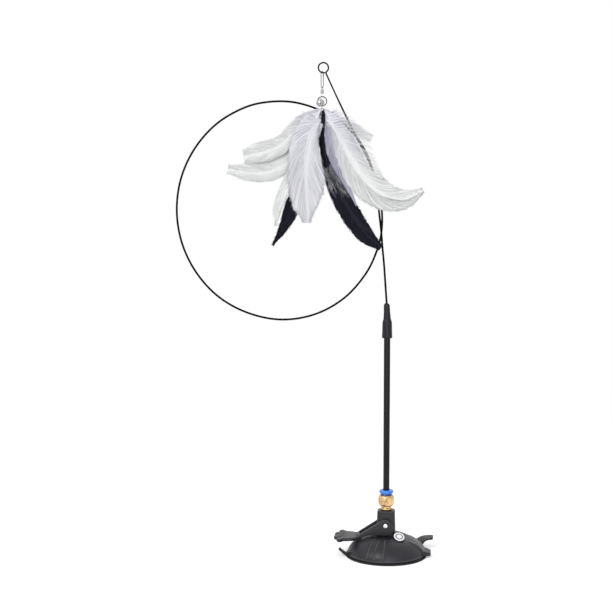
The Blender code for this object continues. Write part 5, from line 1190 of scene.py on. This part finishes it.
def make_swivel(nickel, barrel):
    """Swivel: a turned barrel with a groove round its middle, and two eyes on headed shanks."""
    low, middle = BARREL_BOTTOM, (BARREL_BOTTOM + BARREL_TOP) / 2
    neck, mouth = low + BARREL_NECK, SHANK_RADIUS + GAP
    roof = neck + SHANK_HEAD_HEIGHT + GAP * 2
    half = [(0, roof), (BARREL_CHAMBER, roof), (BARREL_CHAMBER, neck), (mouth, neck), (mouth, low)]
    half += [(BARREL_RADIUS - BARREL_ROUND * (1 - s), low + BARREL_ROUND * (1 - c)) for s, c in quarter(9)]
    half.append((BARREL_RADIUS, middle - 0.0003))
    profile = half + [(BARREL_RADIUS - 0.00012, middle)] + [(r, middle * 2 - z) for r, z in half[::-1]]
    piece("swivel_drum", [lathe(profile, 64, LURE_LINE)], barrel, "snap", "swivel_barrel")
    seat = BARREL_NECK + GAP
    across = (math.cos(SNAP_TURN), math.sin(SNAP_TURN), 0.0)
    for name, z, radius, head, way, first, body, node in (
            ("swivel_top_eye", UPPER_EYE_Z, UPPER_EYE, BARREL_TOP - seat, -1, across,
             "snap", "swivel_upper_eye"),
            ("swivel_foot_eye", LOWER_EYE_Z, LOWER_EYE, low + seat, 1, (0, 1, 0),
             "swivel", "swivel_lower_eye")):
        end, root = head + SHANK_HEAD_HEIGHT * way, z + radius * way
        shank = lathe([(0, root), (SHANK_RADIUS, root), (SHANK_RADIUS, head), (SHANK_HEAD, head),
                       (SHANK_HEAD, end), (0, end)], 32, LURE_LINE)
        eye = wire_loop(np.array((*LURE_LINE, z)), first, (0, 0, 1), radius, LOOP_WIRE)
        piece(name, [eye, shank], nickel, body, node)


def make_ring(material):
    """Split ring: a wire wound almost twice in two flat turns, stepping over between them."""
    a = (math.tau - RING_STEP * 1.25) * np.linspace(-1.0, 1.0, 240)
    y = RING_PITCH * (smooth_step((a + RING_STEP) / (RING_STEP * 2)) - 0.5)
    path = np.column_stack([LURE_X - RING_RADIUS * np.cos(a), LURE_Y + y, RING_Z - RING_RADIUS * np.sin(a)])
    piece("ring_wire", [capped(tube_grid(path, RING_WIRE * RING_COAT, 14))], material, "ring", "split_ring")


def arc_rows(radius, f):
    """Radius and height of a ball's outline at the angles f from its foot."""
    return np.column_stack([radius * np.sin(f), -radius * np.cos(f)])


def make_bell(shell, clapper):
    """Jingle bell: a full upper half, and below it four petals whose edges keep the crossed slots open:
    at an angle f from the foot a petal spans a quarter turn less twice asin(slot / (2 R sin f))."""
    hinge = np.array((LURE_X - BELL_SIDE, LURE_Y, RING_Z + math.sqrt(RING_RADIUS ** 2 - BELL_SIDE ** 2)))
    centre = hinge + (0.0, -BELL_FORWARD, -BELL_DROP)
    inner = BELL_RADIUS - BELL_WALL
    parts = []
    start = math.asin(BELL_SLOT * 0.75 / BELL_RADIUS)
    split = math.pi / 2 - 0.1
    f = np.linspace(start, split, 22)[:, None]
    half = np.arcsin(np.clip(BELL_SLOT / 2 / (BELL_RADIUS * np.sin(f)), 0.0, 0.70))
    s = np.linspace(0.0, 1.0, 16)[None, :]
    for k in range(4):
        a = k * math.pi / 2 + half + (math.pi / 2 - 2 * half) * s
        skin, lining = (centre + polar(r * np.sin(f), a, -r * np.cos(f)) for r in (BELL_RADIUS, inner))
        parts.append(capped(np.concatenate([skin, lining[:, ::-1]], 1)))
    f = np.linspace(split, math.pi, 26)
    outside, inside = arc_rows(BELL_RADIUS, f), arc_rows(inner, f)
    outside[:, 0] += bell_curve(f - math.pi / 2 - 0.05, 0.05) * 0.00018 * np.sin(f)
    parts.append(moved(lathe(np.vstack([inside[::-1], outside]), 96), centre))
    top = centre + (0.0, 0.0, BELL_RADIUS - BELL_WALL / 2)
    reach = unit(hinge - top)
    far = hinge + reach * (RING_PITCH / 2 + RING_WIRE + GAP + LOOP_WIRE)
    parts.append(wire_loop((far + top) / 2, np.cross(reach, (1.0, 0.0, 0.0)), reach, BELL_LOOP, LOOP_WIRE,
                           np.linalg.norm(far - top) - BELL_LOOP * 2))
    piece("bell_ball", parts, shell, "bell", "bell_shell")
    ball = lathe(arc_rows(CLAPPER_RADIUS, np.linspace(0.0, math.pi, 20)), 32)
    rest = centre - (0.0, 0.0, inner - CLAPPER_RADIUS - GAP * 2)
    piece("bell_bead", [moved(ball, rest)], clapper, "bell", "bell_clapper")


def make_crimp(material):
    """Crimp: a small cup over the quills, pinched in two shallow bands, and its hanging loop."""
    outer = CRIMP_RADIUS + CRIMP_WALL
    roof = CRIMP_TOP - CRIMP_CAP
    z = np.linspace(CRIMP_FOOT, CRIMP_TOP - CRIMP_CAP * 0.6, 40)
    pinch = sum(CRIMP_PINCH * bell_curve(z - CRIMP_FOOT - at, 0.00035) for at in CRIMP_BANDS)
    profile = [(0, roof), (CRIMP_RADIUS, roof), (CRIMP_RADIUS, CRIMP_FOOT), *zip(outer - pinch, z),
               (outer - CRIMP_CAP * 0.2, CRIMP_TOP - CRIMP_CAP * 0.25), (outer - CRIMP_CAP * 0.6, CRIMP_TOP),
               (0, CRIMP_TOP)]
    loop = wire_loop(np.array((*LURE_LINE, CRIMP_LOOP_Z)), (0, 1, 0), (0, 0, 1), LOWER_EYE, LOOP_WIRE)
    piece("crimp_cup", [lathe(profile, 80, LURE_LINE), loop], material, "lure", "feather_crimp")


# Feathers
def shaft_path(feather, count):
    """Centre line of a feather from inside the crimp to its tip, and how far along it each point lies
    as seen from the front. It goes straight down, then along the route, while its depth eases over to
    the feather's own layer."""
    seat_x = seat_y = 0.0
    if feather["seat"] is not None:
        a = math.pi / 2 + math.tau * (feather["seat"] + 0.5) / QUILL_SEATS
        seat_x, seat_y = QUILL_CIRCLE * math.cos(a), QUILL_CIRCLE * math.sin(a)
    down = [(LURE_X + seat_x, 0, CRIMP_FOOT + rise)
            for rise in (QUILL_DEPTH, QUILL_DEPTH / 2, 0.0, -SHAFT_STRAIGHT)]
    down += [(LURE_X - feather["reach"] * out, 0, CRIMP_FOOT - feather["fall"] * fall)
             for out, fall in feather["route"]]
    path = spline(down, count)
    lengths = run_lengths(path)
    share = smooth_step((lengths - QUILL_DEPTH - SHAFT_STRAIGHT) / SHAFT_FAN)
    path[:, 1] = LURE_Y + seat_y + (feather["layer"] - seat_y) * share
    return path, lengths


def strands(curves, widths, thickness, across):
    """Many thin strands at once. Each row of curves is one strand's centre line, widths its half-widths
    and across its flat direction. Sections are flat ellipses with three corners."""
    n, rows, _ = curves.shape
    sides = 3
    tangent = unit(np.gradient(curves, axis=1))
    flat = unit(across - tangent * np.sum(across * tangent, axis=2, keepdims=True))
    lift = np.cross(tangent, flat)
    a = circle(sides)[:, None] + 0.3
    ring = (curves[:, :, None, :] + flat[:, :, None, :] * (widths[:, :, None, None] * np.cos(a))
            + lift[:, :, None, :] * (thickness * np.sin(a)))
    start = np.arange(n)[:, None] * rows * sides
    skin = (start[..., None] + quads(rows, sides)[None]).reshape(-1, 4)
    corner = np.arange(sides)[None, :]
    low, high = start + corner[:, ::-1], start + (rows - 1) * sides + corner
    return outward(ring.reshape(-1, 3), [skin, low, high])


class Plume:
    """One feather's shaft, with the frame that its barbs grow in. A barb rooted at t goes forward by
    lean(t) s^1.3 of the shaft's length while it goes out by its length s, and its length is the
    vane's width where it ends."""

    def __init__(self, feather):
        if "points" in feather:
            self.path = spline(np.array(feather["points"]) + (*LURE_LINE, CRIMP_FOOT), 120)
            lengths, bare = run_lengths(self.path), 0.0
        else:
            self.path, lengths = shaft_path(feather, 200)
            bare = QUILL_DEPTH + SHAFT_BARE
        self.total = lengths[-1]
        self.bare = bare / self.total
        self.t = lengths / self.total
        self.tangent = unit(np.gradient(self.path, axis=0))
        self.side = unit(np.cross(self.tangent, (0.0, 1.0, 0.0)))
        self.lift = np.cross(self.tangent, self.side)
        self.grow = np.array(feather["grow"]) / 100

    def frame_at(self, place):
        """Point, side, lift and tangent at shares of the shaft's length."""
        return (np.stack([np.interp(place, self.t, values[:, k]) for k in range(3)], -1)
                for values in (self.path, self.side, self.lift, self.tangent))

    def width(self, place, way, vane):
        """Width of the vane on one side."""
        shares = self.grow[0 if way < 0 else 1]
        along = np.clip((place - self.bare) / (1 - self.bare), 0, 1)
        return vane * np.interp(along, np.linspace(0, 1, len(shares)), shares)

    def lean(self, root, vane):
        """How far towards the tip a barb ends, kept inside the tip."""
        wish = (0.30 + 1.9 * smooth_step((root - self.bare) / 0.35)) * vane / self.total
        return soft_min(wish, np.maximum(1.0 - root, 0.0) * 0.92 + 0.002, 0.02)

    def reach(self, root, way, vane):
        """Length of a barb."""
        return self.width(np.minimum(root + self.lean(root, vane), 1.0), way, vane)


def gathered(root, groups, share):
    """Roots moved by a share of their way to the nearest of so many evenly spread places."""
    return root + (np.round(root * groups) / groups - root) * share


def vane_part(plume, way, vane, seed, loose_to):
    """Thin web between the barbs: rows along the shaft, columns out along the barbs, its upper and
    under face in one closed loop. Its edge waves a little, and stops short where the barbs are loose."""
    t = plume.t[int(np.searchsorted(plume.t, plume.bare))::2]
    across = np.linspace(0.0, 1.0, 13)
    ripple = 0.93 + 0.03 * np.sin(t * 60.0 + seed) + 0.03 * np.sin(t * 171.0 + seed * 2.0)
    if loose_to:
        short = smooth_step((t - plume.bare) / 0.05) * smooth_step((loose_to - t) / 0.08)
        ripple = ripple * (1 - 0.42 * short)
    reach = np.maximum((plume.reach(t, way, vane) * ripple)[:, None], 0.0002)
    base, side, lift, _ = plume.frame_at(
        np.minimum(t[:, None] + plume.lean(t, vane)[:, None] * across ** 1.3, 1.0))
    thin = WEB_THICKNESS * (1.0 - 0.6 * across)[:, None]
    fold = 0.05 * reach * across ** 2 + 0.00005 * np.sin(across * 9.0 + t[:, None] * 40.0) * across
    middle = base + side * (way * reach * across)[..., None] - lift * fold[..., None]
    grid = np.concatenate([middle + lift * thin, (middle - lift * thin)[:, ::-1]], 1)
    u = np.tile(np.concatenate([across, across[::-1]]), len(t)) * way * 0.5 + 0.5
    v = np.repeat(t, 26)
    tone = 0.62 + 0.08 * np.sin(v * 173.0 + seed) * np.sin(v * 61.0) + 0.05 * np.sin(v * 37.0 + seed)
    ends = np.array([[0.5, v[0]], [0.5, v[-1]]])
    return capped(grid), np.append(tone, (0.5, 0.5)), np.vstack([np.stack([u, v], 1), ends])


def barb_part(plume, way, vane, seed, feather, loose_to, rng):
    """Barbs, which stand a little over the web. Near the root they are longer, looser down, and the
    edge of a ragged feather splits into bunches."""
    total, bare = plume.total, plume.bare
    sparse, ragged = (feather.get(k, 0.0) for k in ("sparse", "ragged"))
    count = int((60 + BARBS_PER_METRE * total) * (1 - 0.5 * sparse))
    root = np.sort(bare + (1 - bare) * (np.arange(count) + rng.random(count)) / count)
    if ragged or sparse:
        root = gathered(root, 30, 0.6 * np.maximum(ragged * smooth_step((root - 0.5) / 0.2), sparse))
    if loose_to:
        root = gathered(root, 58, 0.62 * smooth_step((loose_to - root) / 0.08))
    local = plume.reach(root, way, vane)
    wild = np.interp(root, [0.0, bare + 0.10, bare + 0.24, 0.85, 1.0], [1.0, 0.6, 0.12, 0.07, 0.12])
    wild = wild + ragged * 0.4 * smooth_step((root - 0.6) / 0.2)
    clump = 0.5 + 0.5 * np.sin(root * 140.0 + seed * 3.0) * np.sin(root * 57.0 + seed)
    length = local * (0.94 + 0.07 * rng.random(count) + 0.16 * wild * rng.random(count) + 0.04 * clump)
    length = np.maximum(length, 0.0006)
    s = np.linspace(0.0, 1.0, 8)[None, :]
    lean = plume.lean(root, vane) * (0.9 + 0.2 * rng.random(count))
    ends = root[:, None] + lean[:, None] * s ** 1.3
    over = np.maximum(ends - 1.0, 0.0) * total
    out = length[:, None] * s ** 0.95
    base, side, lift, tangent = plume.frame_at(np.minimum(ends, 1.0))
    sway = rng.normal(0.0, 1.0, count)[:, None] * s ** 2 * wild[:, None]
    face = np.where(rng.random(count) < 0.7, 1.0, -1.0)[:, None]
    rise = 0.00020 * face * s ** 0.5 + 0.0010 * wild[:, None] * rng.normal(0.0, 1.0, count)[:, None] * s ** 2
    curve = (base + side * (way * (out + 0.0007 * sway))[..., None]
             + lift * (rise * (1 - 0.3 * s) - 0.05 * out * s)[..., None]
             + tangent * (np.minimum(over, 0.0004) + 0.0012 * sway)[..., None])
    wide = (BARB_WIDTH - 0.00010 * sparse) * (1.0 - 0.78 * s ** 2) * (0.7 + 0.6 * rng.random(count)[:, None])
    part = strands(curve, wide, BARB_THICKNESS, tangent)
    tone = np.clip(0.60 + 0.20 * rng.normal(0.0, 1.0, count) + 0.30 * (clump - 0.5), 0.0, 1.0)
    u = np.tile(np.repeat(0.5 + 0.5 * way * s[0], 3), count)
    return part, np.repeat(tone, 24), np.stack([u, np.repeat(root, 24)], 1)


def feather_piece(name, made, node, material):
    """A piece of the lure from parts that each hold their points' tones and places along the shaft."""
    parts, tones, places = zip(*made)
    piece(name, parts, material, "lure", node, sharp=0,
          fields={"streak": np.concatenate(tones), "shaft_map": np.vstack(places)})


def make_feather(name, feather, finishes, seed):
    """A feather: a tapered shaft, a thin web and many barbs on either side."""
    rng = np.random.default_rng(seed)
    plume = Plume(feather)
    cape = "points" in feather
    quill = CAPE_QUILL if cape else QUILL_RADIUS
    shaft = capped(tube_grid(plume.path, quill * (1.0 - 0.80 * plume.t), 8, squash=0.8))
    v = np.append(np.repeat(plume.t, 8), (0.0, 1.0))
    made = [(shaft, np.full(len(v), 0.60), np.stack([np.zeros(len(v)), v * 0.5 + 0.5], 1))]
    loose_way, loose_end = feather.get("loose", (0.0, 0.0))
    for way, width in zip((-1.0, 1.0), feather["vanes"]):
        loose_to = loose_end if way == loose_way else 0.0
        if not feather.get("sparse"):
            made.append(vane_part(plume, way, width, seed, loose_to))
        made.append(barb_part(plume, way, width, seed, feather, loose_to, rng))
    finish = feather["finish"]
    feather_piece("plume_" + name, made, None if cape else "feather_" + name, finishes[finish])


def make_fringe(name, plume, way, vane, last, count, material, seed):
    """Loose down on one vane of a feather: short hairs that start part of the way out and bend towards
    the tip, each by its own amount."""
    rng = np.random.default_rng(seed)
    root = FRINGE_START + (last - FRINGE_START) * np.sort(rng.random(count))
    s = np.linspace(0.0, 1.0, 7)[None, :]
    local = plume.width(root, way, vane)
    base, side, lift, tangent = plume.frame_at(np.repeat(root[:, None], 7, 1))
    out = (local[:, None] * 0.5 * (0.2 + 1.3 * rng.random(count)[:, None])
           + (FRINGE_REACH * rng.normal(0.25, 0.45, count))[:, None] * s)
    bend = (0.5 + 0.9 * rng.random(count))[:, None] * s ** 1.2 * FRINGE_REACH * 1.3
    curl = rng.normal(0.0, 0.0005, count)[:, None] * s ** 2
    curve = (base + side * (way * out)[..., None] + tangent * bend[..., None]
             + lift * (curl + 0.0007)[..., None])
    part = strands(curve, HAIR_WIDTH * (1 - 0.6 * s) * np.ones((count, 1)), HAIR_THICKNESS, tangent)
    tone = np.repeat(np.clip(rng.normal(0.5, 0.3, count), 0, 1), 21)
    feather_piece(name, [(part, tone, np.full((len(tone), 2), (0.5, 0.9)))], None, material)


def main():
    """The whole scene: view and light, finishes, then the pieces from the base up to the feathers."""
    set_camera()
    set_world(0.56)
    add_floor()
    add_lamp("key_lamp", (-1.1, -1.3, 1.7), (-0.05, 0.0, 0.2), (0.9, 0.9), 21.0)
    add_lamp("low_lamp", (-0.30, -1.5, 0.10), (-0.06, 0.0, 0.38), (0.6, 0.3), 2.4)
    add_lamp("fill_lamp", (0.25, -1.9, 0.8), (0.0, 0.0, 0.25), (0.5, 1.2), 8.0)
    add_lamp("back_lamp", (0.2, 1.5, 1.5), (-0.05, 0.0, 0.3), (1.2, 0.8), 9.0)

    black = moulded_black()
    rubber = soft_rubber()
    nickel = plated_steel("nickel_plate", 0.22, (0.48, 0.48, 0.50))
    steel = plated_steel("pin_steel", 0.26, (0.86, 0.86, 0.88))
    dark_steel = plated_steel("ring_steel", 0.45, (0.004, 0.004, 0.005))
    clip_steel = plated_steel("clip_steel", 0.35, (0.02, 0.02, 0.023))
    brass = turned_metal("brass_turned", (0.80, 0.55, 0.28), (0.40, 0.23, 0.09), 0.20, (0.0, 0.0))
    barrel = turned_metal("barrel_nickel", (0.42, 0.42, 0.44), (0.22, 0.22, 0.24), 0.2, LURE_LINE)
    tube, boot, wire = (drawn_black(*row) for row in (
        ("tube_black", (0.004, 0.004, 0.005), (0.010, 0.010, 0.012), 0.26, 0.02, 1400.0, 0.00004, 0.20),
        ("boot_black", (0.004, 0.004, 0.006), (0.018, 0.018, 0.024), 0.28, 0.10, 600.0, 0.00012, 0.24),
        ("wire_black", (0.002, 0.002, 0.002), (0.004, 0.004, 0.005), 0.6, 0.6, 1200.0, 0.00003, 0.05)))
    finishes = {name: feather_finish("feather_" + name, *tones) for name, *tones in (
        ("white", (0.82, 0.82, 0.84), (0.90, 0.91, 0.90), (0.72, 0.72, 0.78)),
        ("cape", (0.82, 0.82, 0.84), (0.90, 0.91, 0.90), (0.86, 0.86, 0.90)),
        ("bright", (0.66, 0.66, 0.72), (0.80, 0.80, 0.83), (0.80, 0.80, 0.85)),
        ("pale", (0.40, 0.41, 0.43), (0.74, 0.75, 0.76), (0.60, 0.60, 0.66)),
        ("lilac", (0.28, 0.28, 0.38), (0.50, 0.50, 0.60), (0.44, 0.44, 0.54)),
        ("black", (0.002, 0.002, 0.004), (0.013, 0.013, 0.024), (0.006, 0.006, 0.010), 0.0),
        ("down", (0.30, 0.30, 0.33), (0.66, 0.66, 0.68), (0.5, 0.5, 0.52)))}

    make_cup(rubber)
    make_cover(black)
    make_label()
    make_post(black)
    make_pin(steel)
    make_lever(black)
    make_fitting(brass)
    make_collar(blue_plastic())
    make_pole(tube)
    make_boot(boot)
    make_wire(wire)
    make_snap(clip_steel)
    make_swivel(nickel, barrel)
    make_ring(dark_steel)
    make_bell(nickel, steel)
    make_crimp(nickel)
    for node, material in (("tube_seal", rubber), ("guide_ring", black), ("grip_ring", steel),
                           ("wire_plug", boot)):
        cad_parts[node].material_slots[0].material = material
    for seed, (name, feather) in enumerate(FEATHERS.items(), 3):
        make_feather(name, feather, finishes, seed)
    dark_right = Plume(FEATHERS["black_right"])
    for name, way, vane, last, count, seed in (("down_grey_left", -1.0, 0.0102, 0.50, 70, 41),
                                               ("down_grey_right", 1.0, 0.0092, 0.56, 80, 43)):
        make_fringe(name, dark_right, way, vane, last, count, finishes["down"], seed)
    for seed, (name, feather) in enumerate(CAPES.items(), 50):
        make_feather(name, feather, finishes, seed)

    bpy.context.scene.view_settings.view_transform = "Standard"


main()
